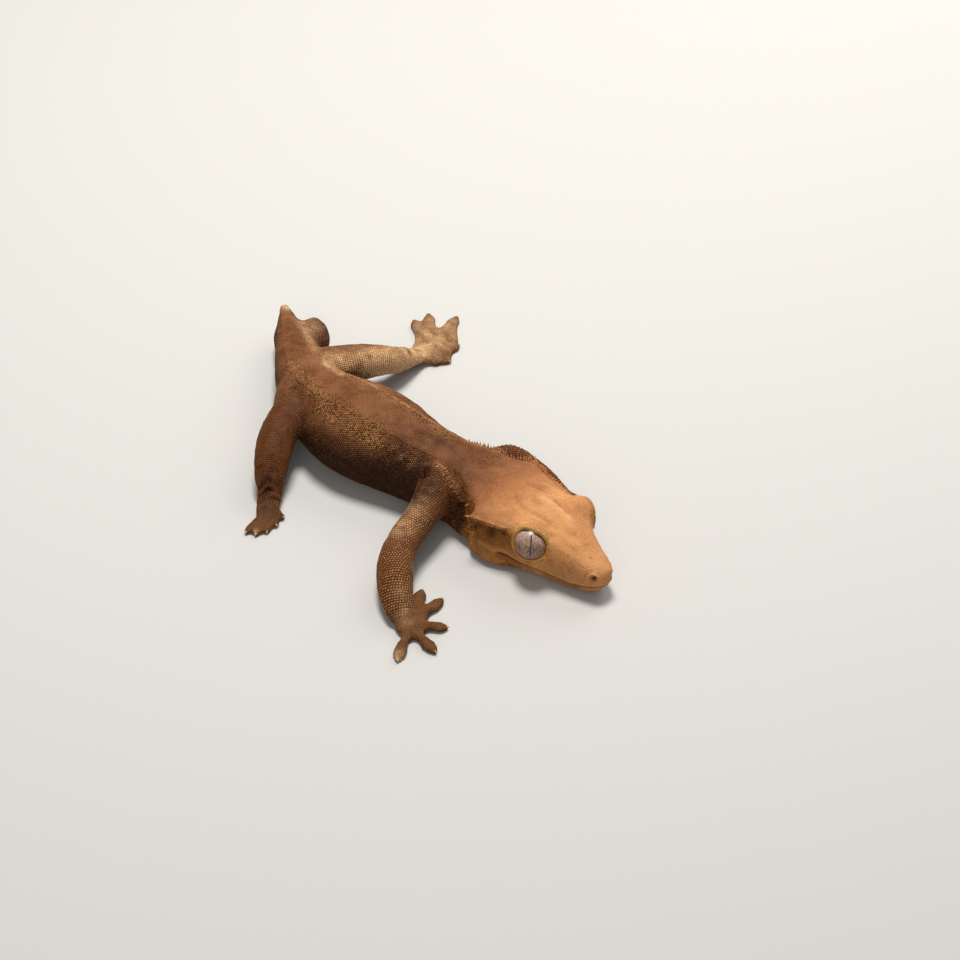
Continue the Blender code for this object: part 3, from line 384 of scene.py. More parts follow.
# Small spines over each eye: from where to where round its rim, in degrees from its back over its top, how
# many, their half width, and how far they lean the way that the eye looks.
LASH_ANGLES = (20, 150)
LASH_COUNT = 13
LASH_WIDE = 0.15
LASH_LEAN = 0.35

# Claws: how high and how far back from the toe's tip each is rooted, how far it points ahead and down, its
# half width and length.
CLAW_HEIGHT = 0.85
CLAW_BACK = 0.35
CLAW_AHEAD = 0.9
CLAW_FALL = (0, 0, -0.3)
CLAW_WIDE = 0.17
CLAW_LONG = 0.6

# Strokes of lighter and darker colour: the points x, y, z along each, its half width and its strength.
# Some lighter ones are painted light and the darker ones are painted shade, as said over each group.
STROKES = {
    "pale": {
        # The tail's pale stripe is partly its own colour and partly painted light on the lit side of its
        # ridge.
        "tail_stripe": (
            [(14.3, 45.5, 7.4), (12.3, 41.4, 8.2), (8.7, 34.7, 9.8), (5.9, 28.3, 11.2), (3.8, 18.9, 13.6)],
            0.9, 0.45,
        ),
        "tail_nub": ([(16.4, 53.2, 6.4), (17.2, 54.6, 6.4)], 1.6, 1.0),
        # Painted light on the left leg, which is turned to the light: a highlight on the knee, and a
        # brighter thigh, shank and foot.
        "left_knee_highlight": (
            [(16.0, 21.6, 9.4), (19.7, 20.7, 7.1), (22.6, 20.6, 5.1), (27.0, 22.4, 3.6)], 2.4, 1.1,
        ),
        "lit_left_thigh": ([(8.0, 26.0, 11.6), (13.6, 23.8, 10.4), (18.6, 21.6, 8.4)], 3.4, 0.6),
        "lit_left_shank": ([(19.5, 21.2, 7.4), (23.5, 21.6, 6.4), (28.6, 22.8, 4.8)], 3.6, 0.8),
        "lit_left_foot": ([(34.0, 26.0, 2.4), (42.0, 30.0, 2.0), (48.4, 31.0, 1.2)], 6.0, 0.6),
        "right_upper_arm": ([(-9.0, -21.4, 9.8), (-13.6, -23.1, 8.4), (-17.0, -24.2, 8.4)], 2.6, 0.5),
        "vent_left": ([(15.6, 42.6, 7.0), (17.2, 46.6, 6.0)], 2.6, 0.35),
        "nostril_rim": ([(4.2, -58.4, 6.6), (5.4, -58.4, 6.7)], 0.55, 0.5),
        "brow_left": ([(9.6, -38.6, 12.2), (10.2, -43.0, 11.8), (9.6, -47.6, 11.0)], 1.0, 0.4),
        "right_hand_outer_toe": ([(-37.8, -46.2, 1.2), (-38.7, -47.6, 0.8)], 1.5, 1.0),
        "right_foot_toe": ([(-34.4, 2.2, 1.2), (-35.4, 1.6, 0.9)], 0.6, 0.7),
        "right_wrist": ([(-26.4, -34.2, 5.2), (-30.0, -40.0, 2.8)], 1.6, 0.3),
    },
    # Darker strokes: painted shade under the right crest's ledge and under the eye, on the lower jaw and the
    # brow, and down the right side of neck, shoulder, flank, leg and foot, which is turned from the light.
    # Those on the nape, the front of the back and the tail's top darken the brown there.
    "dark": {
        "ledge_shadow_on_cheek": ([(-2.2, -38.6, 7.6), (-2.8, -35.4, 7.2), (-3.4, -31.0, 7.0)], 2.3, 0.6),
        "neck_right_shade": ([(-0.6, -25.0, 9.4), (-1.4, -26.4, 6.4), (-2.0, -27.2, 3.6)], 1.6, 0.7),
        "nape_right_shade": ([(1.4, -22.8, 11.6), (-0.8, -18.6, 11.8), (-2.6, -15.0, 11.4)], 2.2, 0.45),
        "nape": ([(5.0, -19.0, 13.9), (3.4, -11.0, 14.4)], 3.0, 0.25),
        "shoulder_right_shade": ([(-7.2, -20.2, 9.8), (-4.6, -14.0, 10.0), (-4.6, -8.0, 10.0)], 3.6, 1.0),
        "back_front": ([(3.4, -13.0, 14.2), (1.6, -6.0, 14.6)], 4.0, 0.35),
        "tail_top": ([(12.4, 46.4, 8.4), (7.5, 37.2, 10.0)], 2.2, 0.35),
        "flank_upper_shade": ([(-7.6, -6.0, 9.4), (-10.2, 2.0, 9.6), (-10.6, 10.0, 9.4)], 3.2, 0.4),
        "shadow_under_eye": ([(-2.0, -46.0, 5.0), (-1.0, -42.2, 5.0)], 1.2, 0.3),
        "flank_right_shade": (
            [(-5.4, -10.6, 5.0), (-9.0, -1.0, 4.0), (-11.0, 8.0, 3.8), (-9.4, 17.0, 4.4)], 4.4, 0.95,
        ),
        "lower_jaw": (
            [(4.0, -57.5, 1.2), (1.8, -52.0, 1.0), (-0.6, -46.0, 1.0), (-2.6, -40.0, 1.4)], 0.9, 0.6,
        ),
        "right_leg_shade": ([(-6.0, 23.6, 10.0), (-14.0, 18.0, 9.0), (-22.0, 12.0, 6.0)], 4.6, 0.45),
        "right_foot": ([(-25.4, 8.6, 4.4), (-29.0, 4.6, 2.6)], 3.2, 0.6),
        "right_shank_shade": ([(-19.0, 13.8, 8.4), (-23.6, 10.0, 5.4)], 2.8, 0.15),
        "brow_shadow_right": ([(1.6, -48.6, 10.2), (0.4, -46.6, 11.0)], 0.6, 0.4),
    },
}

# One scale and one spine, as rings of radius and height below a point one high. Both start under the skin.
DOME_RINGS = [(1.0, -0.35), (0.74, 0.62)]
SPIKE_RINGS = [(1.0, -0.3), (0.84, 0.15), (0.52, 0.55), (0.2, 0.88)]

# Each coat of scales: the part of the skin that it covers, a scale's half width and height and how far it
# strays from its row, as shares of the spacing, how far off the skin a row may run, and the material slot.
# A scale keeps off those already laid, so the order matters.
Coat = namedtuple("Coat", "part wide height stray reach slot")
COATS = {
    "crown_scales": Coat("head", 0.57, 0.15, 0.06, 3.0, "skin_head"),
    "cheek_scales": Coat("cheek", 0.54, 0.22, 0.06, 3.0, "skin_head"),
    "arm_scales": Coat("arm", 0.47, 0.3, 0.05, 1.7, "skin_limbs"),
    "leg_scales": Coat("leg", 0.52, 0.24, 0.07, 1.7, "skin_limbs"),
    "back_scales": Coat("back", 0.55, 0.22, 0.07, 2.4, "skin_body"),
    "flank_scales": Coat("flank", 0.51, 0.28, 0.06, 2.4, "skin_body"),
    "paw_scales": Coat("paw", 0.54, 0.2, 0.07, 1.7, "skin_feet"),
}

# The head's scales end at this station, in a ragged edge, and the coats' rows run on past it. The crown and
# the back take this share of the way round from the middle line to the belly's, and the sides the rest.
HEAD_END = PLACES["nape"] + 0.5
RAGGED = 0.8
OVERLAP = 1.5
CROWN_SHARE = 0.33
BACK_SHARE = 0.27

# Rows over the palms lie in a flat field, this many palms' half lengths wide, at this height. Those over
# the eyes' flesh go round to this angle from the opening's middle. Those over the snout's end go round a
# ball, given as how far back from the muzzle's section it is, its height and radius, and their last angle.
PALM_REACH = 1.7
FIELD_HEIGHT = 1.9
ORBIT_ANGLE = 130
SNOUT_BALL = (1.2, 4.4, 3.2, 100)

# Rows round the toes: the height of the rings' middle at the tip, and their half height. Rows round the
# vent's swellings: where along them they start and end.
TOE_ROW_END = 0.3
TOE_ROW_HIGH = 0.9
VENT_ROWS = (0.06, 0.94)

# Rows of scales stand as in a honeycomb. Rings are looked for in steps this long, and round a ball the first
# is at this angle, in degrees. Cells are the boxes of space by which near scales are found.
ROW_STEP = 0.866
RING_SEARCH = 0.015
FIRST_ANGLE = 8
CELL = 0.5

# A scale's least size, and how much paler scales and those of the bands are larger.
LEAST_SIZE = 0.9
PALE_GROWTH = 0.2
BAND_GROWTH = 0.15

# No scale is laid lower than the first value, on skin that faces down more than the second, where the masks
# of the eye's socket or of bare skin are over the next two, or nearer to another than the fifth, as a share
# of the spacing. In the bands scales stand higher by the sixth, and the last share of them is nearly black.
LOWEST_SCALE = 0.12
UNDERSIDE = -0.75
SOCKET_EDGE = 0.3
BARE_EDGE = 0.45
CLEARANCE = 0.7
BAND_RISE = 0.9
DOT_SHARE = 0.22

# Swellings beside the vent, as offset from the middle line and height.
VENT_STATION = PLACES["stump"] - 0.15
VENT_BULGES = ((5.4, 5.0), (-1.2, 3.5))
VENT_BULGE_SIZE = (3.1, 6.2, 3.1)

# The photograph's camera, in millimetres, with the ways its picture's right and down edges run.
CAMERA_PLACE = Vector((-320.06, -355.79, 392.46))
CAMERA_RIGHT = Vector((0.731095, -0.681582, 0.030756))
CAMERA_DOWN = Vector((-0.416299, -0.481347, -0.771362))
CAMERA_LENS = 107.07
CAMERA_SENSOR = 36

# Soft round lights, all turned to the animal: place and width in metres, and power in watts.
LIGHTS = {
    "key": ((0.12, 0.16, 0.6), 0.22, 4.9),
    "fill": ((-0.5, -0.35, 0.35), 0.5, 1.15),
    "back": ((0.45, 0.1, 0.3), 0.4, 1.4),
}
LIGHT_TARGET = (0, -0.01, 0.008)
ROOM_LIGHT = 0.24

# Patterns, as how many come to a millimetre. Clouds of colour are about 5 mm across and specks about 1.4 mm,
# as on the animal. The skin's own grain, of less than 0.1 mm, is too fine to show, so it is drawn 0.45 mm
# coarse.
CLOUDS_PER_MM = 0.21
SPECKS_PER_MM = 0.7
GRAIN_PER_MM = 2.2
GRAIN_DEPTH = 0.12

# Light between the scales comes off the skin warmer than it fell in.
WARM_GAPS = (1.06, 0.92, 0.82)

# The iris's net in layers: how many meshes come to a millimetre, how thick its lines are as a share of the
# noise that they follow, and how dark they are. Real lines of 0.02 to 0.05 mm are too fine to show, so these
# are about three times as coarse. The first layer is broad shade between the lines. Then how much the net is
# squeezed across and drawn out along the pupil, how far the pupil's edge waves, and half its length.
IRIS_NET = ((0.55, 0.2, 0.5), (0.8, 0.055, 0.9), (1.5, 0.06, 0.85), (3.0, 0.05, 0.5))
IRIS_STRETCH = (1.15, 0.7, 1.0)
PUPIL_WAVE = 0.22
PUPIL_HALF_LENGTH = 2.3
CORNEA_IOR = 1.376

# The masks stored on the skin and on every scale, which the materials read.
MASKS = (
    "head", "rear", "limb", "paw", "low", "cheek", "arm", "lip", "rim", "socket", "orbit", "bare", "pit",
    "warm", "pale", "dark", "band",
)

# The map that the finished colours are laid out on: where its pieces part, in degrees, the gap between them,
# and how much of it one scale takes up.
BAKE_MAP = "OFBake"
MAP_ANGLE = 66
MAP_GAP = 0.002
PATCH = 0.0015


def linear(code):
    """An sRGB hex code as the linear colour that a shader takes."""
    values = []
    for i in (0, 2, 4):
        v = int(code[i : i + 2], 16) / 255
        values.append(v / 12.92 if v <= 0.04045 else ((v + 0.055) / 1.055) ** 2.4)
    return (*values, 1.0)


def length(name, about, default):
    """A setting for a length in metres."""
    return bpy.props.FloatProperty(name=name, description=about, default=default, unit="LENGTH", precision=5)


def colour(name, about, code):
    """A setting for a colour, given as an sRGB hex code."""
    return bpy.props.FloatVectorProperty(
        name=name, description=about, default=linear(code), size=4, subtype="COLOR", min=0, max=1
    )


class SkinSettings(bpy.types.PropertyGroup):
    """The skin's fineness, and the colours of skin and scales"""

    fineness: length("Mesh fineness", "Edge length of the skin's mesh before the head is refined", 0.00046)
    depth: length("Coat depth", "How far the skin lies inside the solids, under its scales", 0.0001)
    back: colour("Back", "Skin of the back and neck", "6E3D1F")
    pale_back: colour("Pale patches", "Worn-looking lighter patches of the back and hips", "96643F")
    # The low sides' darker brown is partly their own colour and partly painted shade.
    flank: colour("Flank", "Darker skin of the flanks and throat", "371703")
    head: colour("Head", "Top of the head and the snout", "C68C58")
    crown: colour("Rear crown", "Redder brown of the back of the head", "A5683A")
    blotch: colour("Head blotches", "Faint darker clouds over the head", "A87043")
    cheek: colour("Cheek", "Sides of the head under the crest", "94602F")
    lip: colour("Lip", "Smooth plates along the lips", "BE915F")
    rim: colour("Eye rim", "Swollen rim of skin over each eye", "D2A956")
    # Painted shadow: the olive ring just outside each eye's rim.
    orbit: colour("Orbit", "Olive shade round the rim of each eye", "7A5F38")
    limb: colour("Limb", "Legs and arms", "6E3B16")
    paw: colour("Paw", "Plainer skin of hands and feet", "734924")
    # Cream is the tail's pale stripe and nub, and painted light on the left knee and leg.
    cream: colour("Cream", "Pale stripe, knee and tail nub", "D6A878")
    # Shade is painted shade, laid by the darker strokes under the crest's ledge, on the jaw and down the
    # right side.
    shade: colour("Shade", "Darkest brown of flank, cheek and right foot", "2C1203")
    # Pit is painted shade in the nostrils, ears and the line between the lips, and the colour of two small
    # dark spots.
    pit: colour("Pit", "Nostrils, ears and the line between the lips", "180B06")
    tip_back: colour("Back scales", "Tops of the scales of the back", "90592F")
    # The flank scales' dark tops are partly their own colour and partly painted shade.
    tip_flank: colour("Flank scales", "Tops of the scales of the flanks", "583110")
    tip_head: colour("Crown scales", "Tops of the scales of the crown", "D69E66")
    tip_crown: colour("Rear crown scales", "Tops of the scales of the back of the head", "B97C4B")
    tip_speck: colour("Specks", "Scattered lighter scales of the body", "A06C3E")
    tip_cheek: colour("Cheek scales", "Orange tops of the scales of the cheeks", "CC8740")
    tip_leg: colour("Leg scales", "Tops of the scales of the legs", "865226")
    crest: colour("Crest", "Skin along the crests", "9A6233")
    tip_crest: colour("Crest spines", "Points of the crest's spines", "D39A63")
    dot: colour("Dark dots", "Nearly black scales among the tan ones of the back's bands", "401F0C")
    tip_band: colour("Band scales", "Raised tan scales of the back's bands", "BA864E")
    # Cream scales carry the pale stripe and nub, and painted light on the left knee and leg.
    tip_cream: colour("Cream scales", "Scales of the pale stripe, knee and tail nub", "EFC692")
    # Shaded scales are painted shade on the scales under the darker strokes.
    tip_shade: colour("Shaded scales", "Scales of flank, cheek and right foot", "4C2808")
    tip_arm: colour("Arm scales", "Cream tops of the scales of the arms", "C69056")
    tip_paw: colour("Paw scales", "Tops of the scales of hands and feet", "82552B")


class ScaleSettings(bpy.types.PropertyGroup):
    """How far apart the scales stand on each part, close to a real gecko's 0.3 to 0.6 mm"""

    head: length("Crown spacing", "Distance between the scales on top of the head", 0.00028)
    cheek: length("Cheek spacing", "Distance between the scales of the cheeks and throat", 0.00038)
    back: length("Back spacing", "Distance between the scales of the back", 0.00036)
    flank: length("Flank spacing", "Distance between the scales of the flanks", 0.00048)
    arm: length("Arm spacing", "Distance between the scales of the arms", 0.0006)
    leg: length("Leg spacing", "Distance between the scales of the legs", 0.00046)
    paw: length("Paw spacing", "Distance between the scales of hands and feet", 0.00036)
    seed: bpy.props.IntProperty(name="Seed", description="Another scatter of the same scales", default=3)


class EyeSettings(bpy.types.PropertyGroup):
    """Colours of the eyes, and the pupil's width"""

    iris: colour("Iris", "Pinkish tan of the iris", "C39A80")
    vein: colour("Net", "Fine dark net over the iris", "42220F")
    # The iris's paler top is partly its own pink and partly painted sheen.
    sheen: colour("Upper iris", "Paler pink of the iris's top", "E2BFAA")
    pupil: colour("Pupil", "Slit of the pupil", "0C0806")
    slit: length("Pupil width", "Half width of the closed slit", 0.00014)


class StageSettings(bpy.types.PropertyGroup):
    """The floor's colour and size"""

    floor: colour("Floor", "Plain pale floor", "B9B6B0")
    size: length("Floor size", "Half width of the floor", 1.2)


def spline(rows, at):
    """The row of values at station number at, on a smooth curve through all the rows."""
    rows = np.asarray(rows, float)
    last = len(rows) - 1
    at = min(max(at, 0.0), float(last))
    i = min(int(at), last - 1)
    u = at - i
    a, b = rows[i], rows[i + 1]
    slope_a = (b - rows[max(i - 1, 0)]) / 2
    slope_b = (rows[min(i + 2, last)] - a) / 2
    blend = -2 * u**3 + 3 * u**2
    return (1 - blend) * a + (u**3 - 2 * u**2 + u) * slope_a + blend * b + (u**3 - u**2) * slope_b


def lengths(ways):
    """How long each of many ways is."""
    return np.linalg.norm(ways, axis=1)


def turns(count):
    """Even angles round a full turn, one to a row."""
    return np.linspace(0, 2 * math.pi, count, endpoint=False)[:, None]


def stations(start, end, step):
    """Even steps from start to end, each about as long as step."""
    count = max(2, round((end - start) / step))
    return [start + (end - start) * i / count for i in range(count + 1)]


def body_frame(at):
    """The section at a station, the point on the floor under it, its way to the left and its way back."""
    s = Section(*spline(SECTIONS, at))
    ahead, behind = spline(SECTIONS, at - 0.7), spline(SECTIONS, at + 0.7)
    along = np.array((behind[0] - ahead[0], behind[1] - ahead[1], 0.0))
    along /= np.linalg.norm(along)
    return s, np.array((s.x, s.y, 0.0)), np.array((along[1], -along[0], 0.0)), along


def half_outline(s, side):
    """Offset and height of a section's named corners down one side, from the top to the bottom."""
    crown = s.top - CROWN_DROP * (s.top - s.ridge_z)
    under = s.bottom + UNDER_RISE * (s.low_z - s.bottom)
    low = s.low - side * s.sag
    cheek = 0.25 * s.ridge + 0.75 * s.flank - s.ledge
    corners = [
        (0.0, s.top),
        (0.5 * s.ridge, crown),
        (s.ridge, s.ridge_z),
        (cheek, 0.55 * s.ridge_z + 0.45 * s.flank_z),
        (s.flank - 0.4 * side * s.sag, s.flank_z),
        (low, s.low_z),
        (0.55 * low, under),
        (0.0, s.bottom),
    ]
    return [(side * offset, z) for offset, z in corners]


def body_ring(at):
    """Points round the body at a station, from the top down the left side and up the right."""
    s, foot, left, _ = body_frame(at)
    corners = np.array(half_outline(s, 1) + half_outline(s, -1)[-2:0:-1])
    before, after, beyond = np.roll(corners, 1, 0), np.roll(corners, -1, 0), np.roll(corners, -2, 0)
    flat = np.empty((len(corners), RING_STEPS, 2))
    for step in range(RING_STEPS):
        u = step / RING_STEPS
        blend = -2 * u**3 + 3 * u**2
        flat[:, step] = (1 - blend) * corners + blend * after
        bend = (u**3 - 2 * u**2 + u) * (after - before) / 2
        flat[:, step] += bend + (u**3 - u**2) * (beyond - corners) / 2
    flat = flat.reshape(-1, 2)
    return foot + flat[:, :1] * left + flat[:, 1:] * np.array((0.0, 0.0, 1.0))


def limb_ring(limb, at):
    """An oval ring square to a limb at a station along it."""
    here = Joint(*spline(limb, at))
    along = spline(limb, at + 0.3)[:3] - spline(limb, at - 0.3)[:3]
    side = np.cross(along, (0, 0, 1))
    side /= np.linalg.norm(side)
    up = np.cross(side, along)
    up /= np.linalg.norm(up)
    turn = turns(LIMB_SIDES)
    return np.array(here[:3]) + side * here.wide * np.cos(turn) + up * here.high * np.sin(turn)


class Form:
    """Closed surfaces gathered into one mesh, with each point's place on the animal."""

    def __init__(self):
        """Starts with no points."""
        self.points = []
        self.faces = []
        self.places = []
        self.count = 0

    def tube(self, rings, kind=None, along=None):
        """A closed tube over rings of equal length, with a cap at each end.

        The kind of form is 0 for the body, 1 to 4 for the limbs and 5 to 8 for their toes.
        """
        sides = len(rings[0])
        points = np.concatenate([*rings, [rings[0].mean(0)], [rings[-1].mean(0)]])
        first, last = self.count + len(points) - 2, self.count + len(points) - 1
        for r in range(len(rings) - 1):
            for i in range(sides):
                a, b = self.count + r * sides, self.count + (r + 1) * sides
                j = (i + 1) % sides
                self.faces.append((a + i, a + j, b + j, b + i))
        end = self.count + (len(rings) - 1) * sides
        for i in range(sides):
            j = (i + 1) % sides
            self.faces.append((self.count + j, self.count + i, first))
            self.faces.append((end + i, end + j, last))
        if kind is not None:
            share = np.arange(sides) / sides
            around = np.where(share <= 0.5, 2 * share, 2 * share - 2)
            for r, ring in enumerate(rings):
                self.places += [(kind, along[r], a, *p) for a, p in zip(around, ring)]
        self.points.append(points)
        self.count += len(points)

    def ball(self, centre, sizes, turn=None, rings=16, sides=28):
        """A closed ellipsoid with the half sizes given, turned by a matrix."""
        turn = np.eye(3) if turn is None else np.array(turn)
        around = np.linspace(0, 2 * math.pi, sides, endpoint=False)
        made = []
        for i in range(rings):
            height = math.cos(math.pi * (i + 0.5) / rings)
            wide = math.sqrt(1 - height * height)
            flat = np.stack([wide * np.cos(around), wide * np.sin(around), np.full(sides, height)], 1)
            made.append(np.array(centre) + (flat * np.array(sizes)) @ turn.T)
        self.tube(made)

    def object(self, name):
        """The gathered surfaces as one object whose faces point outwards."""
        mesh = bpy.data.meshes.new(name)
        mesh.from_pydata(np.concatenate(self.points).tolist(), [], self.faces)
        bm = bmesh.new()
        bm.from_mesh(mesh)
        bmesh.ops.recalc_face_normals(bm, faces=bm.faces)
        bm.to_mesh(mesh)
        bm.free()
        return linked(name, mesh)


def linked(name, data):
    """A new object in the scene, made of the data given."""
    obj = bpy.data.objects.new(name, data)
    bpy.context.scene.collection.objects.link(obj)
    return obj


def add_body(form):
    """Trunk, head and tail in one tube, with the swellings by the vent and the flesh round the eyes."""
    at = stations(0, len(SECTIONS) - 1, BODY_STEP)
    form.tube([body_ring(a) for a in at], 0, at)
    _, foot, left, along = body_frame(VENT_STATION)
    turn = np.stack([left, along, (0, 0, 1)], 1)
    for offset, height in VENT_BULGES:
        form.ball(foot + left * offset + (0, 0, height), VENT_BULGE_SIZE, turn)
    for eye in EYES.values():
        form.ball(eye.centre, (ORBIT_RADIUS,) * 3)


def add_limb(form, number, name):
    """A limb with its paw: palm, five toes with pads, and the webs between them."""
    limb, paw = LIMBS[name], PAWS[name]
    at = stations(0, len(limb) - 1, LIMB_STEP)
    form.tube([limb_ring(limb, a) for a in at], number, at)
    middle = np.array((paw.x, paw.y, 0.0))
    end = np.array(limb[-1][:2]) - np.array(limb[-3][:2])
    along = np.array((*end, 0.0)) / np.linalg.norm(end)
    turn = np.stack([(-along[1], along[0], 0), along, (0, 0, 1)], 1)
    size = (paw.half_width, paw.half_length, paw.height * PALM_THICK)
    form.ball(middle + (0, 0, paw.height * PALM_RISE), size, turn)
    for tip in paw.tips:
        tip = np.array((*tip, 0.0))
        add_toe(form, number + len(LIMBS), middle + (tip - middle) * TOE_ROOT, tip, paw.broad)
    add_web(form, paw, middle, -along)


def add_toe(form, number, root, tip, broad):
    """A toe that lies on the ground, with its broad pad near the tip."""
    along = (tip - root) / np.linalg.norm(tip - root)
    side = np.array((-along[1], along[0], 0.0))
    at = stations(0, len(TOE) - 1, TOE_STEP)
    turn = turns(TOE_SIDES)
    rings = []
    for a in at:
        share, width, height = spline(TOE, a)
        centre = root + (tip - root) * share + (0, 0, height * TOE_RISE)
        across = side * (width * (1 + (broad - 1) * min(1, 2 * share))) * np.cos(turn)
        rings.append(centre + across + np.array((0, 0, height * TOE_THICK)) * np.sin(turn))
    form.tube(rings, number, at)


def add_web(form, paw, middle, heel):
    """Thin skin between neighbouring toes, from the heel out."""
    tips = [np.array((*tip, 0.0)) - middle for tip in paw.tips]
    start, end = (unit(tip - heel * (tip @ heel)) * 0.8 * paw.half_width for tip in (tips[0], tips[-1]))
    rear = middle + heel * (0.75 * paw.half_length)
    outline = [rear + end, rear + start]
    for i, tip in enumerate(tips):
        if i:
            outline.append(middle + (tips[i - 1] + tip) / 2 * paw.webs[i - 1])
        outline.append(middle + tip * (0.06 + max(paw.webs[max(i - 1, 0) : i + 1])) * WEB_ALONG_TOE)
    form.tube([np.array(outline) + (0, 0, z) for z in (WEB_LOWEST, WEB_HEIGHT)])


def unit(way):
    """The same way, one long."""
    return np.array(way, float) / np.linalg.norm(way)


def eye_axes(eye):
    """The way that an eye's opening faces, and the ways across it to its back and to its top."""
    look = unit(eye.opening)
    back = unit(np.array((0.0, 1.0, 0.0)) - look * look[1])
    return look, back, np.cross(look, back) * eye.side


def eye_angles(eye, points):
    """Each point's distance from the ball's centre, its angle past the opening's edge, and its lift."""
    look, back, up = eye_axes(eye)
    away = points - eye.centre
    radius = np.maximum(lengths(away), 1e-6)
    angle = np.degrees(np.arccos(np.clip(away @ look / radius, -1, 1)))
    across = np.stack([away @ back, away @ up], 1)
    across /= np.maximum(lengths(across), 1e-6)[:, None]
    shares = np.maximum(0, np.stack([across[:, 0], across[:, 1], -across[:, 0], -across[:, 1]], 1)) ** 2
    return radius, angle - shares @ np.array(eye.edge, float), across[:, 1]


def made_real(obj):
    """Turns what an object's modifiers make into its mesh, and removes them."""
    graph = bpy.context.evaluated_depsgraph_get()
    old = obj.data
    obj.data = bpy.data.meshes.new_from_object(obj.evaluated_get(graph))
    obj.modifiers.clear()
    bpy.data.meshes.remove(old)


def remeshed(obj, size):
    """Turns the object's surface into one even mesh of small squares."""
    modifier = obj.modifiers.new("even", "REMESH")
    modifier.mode = "VOXEL"
    modifier.voxel_size = size
    modifier.adaptivity = 0
    made_real(obj)


def values_of(items, name, width=1, kind=np.float32):
    """One property of every item of a mesh, with a row of numbers for each where it has several."""
    flat = np.empty(len(items) * width, kind)
    items.foreach_get(name, flat)
    return flat.reshape(-1, width) if width > 1 else flat


def points_of(mesh):
    """The places of the mesh's points."""
    return values_of(mesh.vertices, "co", 3, float)


def normals_of(mesh):
    """The ways out of the surface at the mesh's points."""
    return values_of(mesh.vertex_normals, "vector", 3).astype(float)


def edges_of(mesh):
    """The numbers of the two points at the ends of each edge."""
    return values_of(mesh.edges, "vertices", 2, np.int32)


def set_points(mesh, points):
    """Moves the mesh's points."""
    mesh.vertices.foreach_set("co", np.ascontiguousarray(points, float).ravel())
    mesh.update()


def eased(values, edges, share, rounds):
    """Values at the mesh's points, each moved a share of the way to its neighbours' mean, some times."""
    count = len(values)
    number = np.bincount(edges.ravel(), minlength=count).astype(float)
    flat = values.reshape(count, -1).astype(float)
    share = np.asarray(share, float).reshape(-1, 1)
    for _ in range(rounds):
        mean = np.empty_like(flat)
        for k in range(flat.shape[1]):
            total = np.bincount(edges[:, 0], flat[edges[:, 1], k], count)
            total += np.bincount(edges[:, 1], flat[edges[:, 0], k], count)
            mean[:, k] = total / np.maximum(number, 1)
        flat += share * (mean - flat)
    return flat.reshape(values.shape)


def refine_head(mesh):
    """Halves the squares of the head, which carries the finest forms."""
    right, back, low = HEAD_LIMITS
    bm = bmesh.new()
    bm.from_mesh(mesh)
    edges = [e for e in bm.edges if all(v.co.y < back and v.co.x > right and v.co.z > low for v in e.verts)]
    bmesh.ops.subdivide_edges(bm, edges=edges, cuts=1, use_grid_fill=True)
    bm.to_mesh(mesh)
    bm.free()


def line_distance(points, line):
    """Distance of each point from a line of corners, and how far along the line its nearest place is."""
    line = np.asarray(line, float)
    best = np.full(len(points), 1e9)
    share = np.zeros(len(points))
    for i in range(len(line) - 1):
        a, step = line[i], line[i + 1] - line[i]
        t = np.clip(((points - a) @ step) / (step @ step), 0, 1)
        away = lengths(points - a - t[:, None] * step)
        near = away < best
        best[near] = away[near]
        share[near] = (i + t[near]) / (len(line) - 1)
    return best, share


def bell(x, width):
    """A smooth hump, 1 where x is 0 and nearly gone at twice the width."""
    return np.exp(-((x / width) ** 2))


def rise(x, low, high):
    """A smooth step from 0 at low to 1 at high."""
    t = np.clip((x - low) / (high - low), 0, 1)
    return t * t * (3 - 2 * t)


def unevenness(points, scale, shift=0.0):
    """Smooth noise at each point, with scale as how many swells come to a millimetre."""
    return np.array([noise.noise(Vector(p * scale + shift)) for p in points])


def places_of(form, points):
    """For each point: the kind of the nearest form, the station along it and the share round it."""
    places = np.array(form.places)
    tree = kdtree.KDTree(len(places))
    for i, row in enumerate(places):
        tree.insert(row[3:6], i)
    tree.balance()
    found = np.array([tree.find(p)[1] for p in points])
    return places[found, 0], places[found, 1], places[found, 2]


def join_share(points, kind, along):
    """How far each point is in a join that wants easing: limb roots, wrists, toe roots, eyes and vent.

    Limbs ease over their first two stations and from the fifth on, and toes over their first one.
    """
    limb = (kind >= 1) & (kind <= len(LIMBS))
    share = limb * (rise(along, 5.2, 6.2) + 1 - rise(along, 1.6, 2.6))
    share = share + (kind > len(LIMBS)) * (1 - rise(along, 1.0, 1.9))
    _, foot, _, _ = body_frame(VENT_STATION)
    far = lengths(points - foot - (0, 0, 5))
    share = np.maximum(share, 1 - rise(far, 6, 9))
    for eye in EYES.values():
        far = lengths(points - eye.centre)
        share = np.maximum(share, rise(far, 4.1, 4.8) * (1 - rise(far, 6.5, 8.5)))
    return share


def open_eyes(points):
    """Draws the skin in under each eyeball, with a swollen rim round the opening, fuller at its top."""
    for eye in EYES.values():
        radius, past, lift = eye_angles(eye, points)
        swell = 0.14 + 0.2 * rise(lift, -0.3, 0.7)
        target = np.interp(past, LID_ANGLES, eye.radius + np.array(LID_HEIGHTS))
        target += swell * bell(past - RIM_WIDTH, 5)
        weight = np.interp(past, [0, 9, 26], [1, 1, 0]) * (1 - rise(radius, 4.7, 6.2))
        away = points - eye.centre
        points += away / radius[:, None] * ((target - radius) * weight)[:, None]


def mouth_height(y):
    """How high the line between the lips runs at y."""
    line = np.array(MOUTH_LINE)
    return np.interp(y, line[:, 0], line[:, 1])


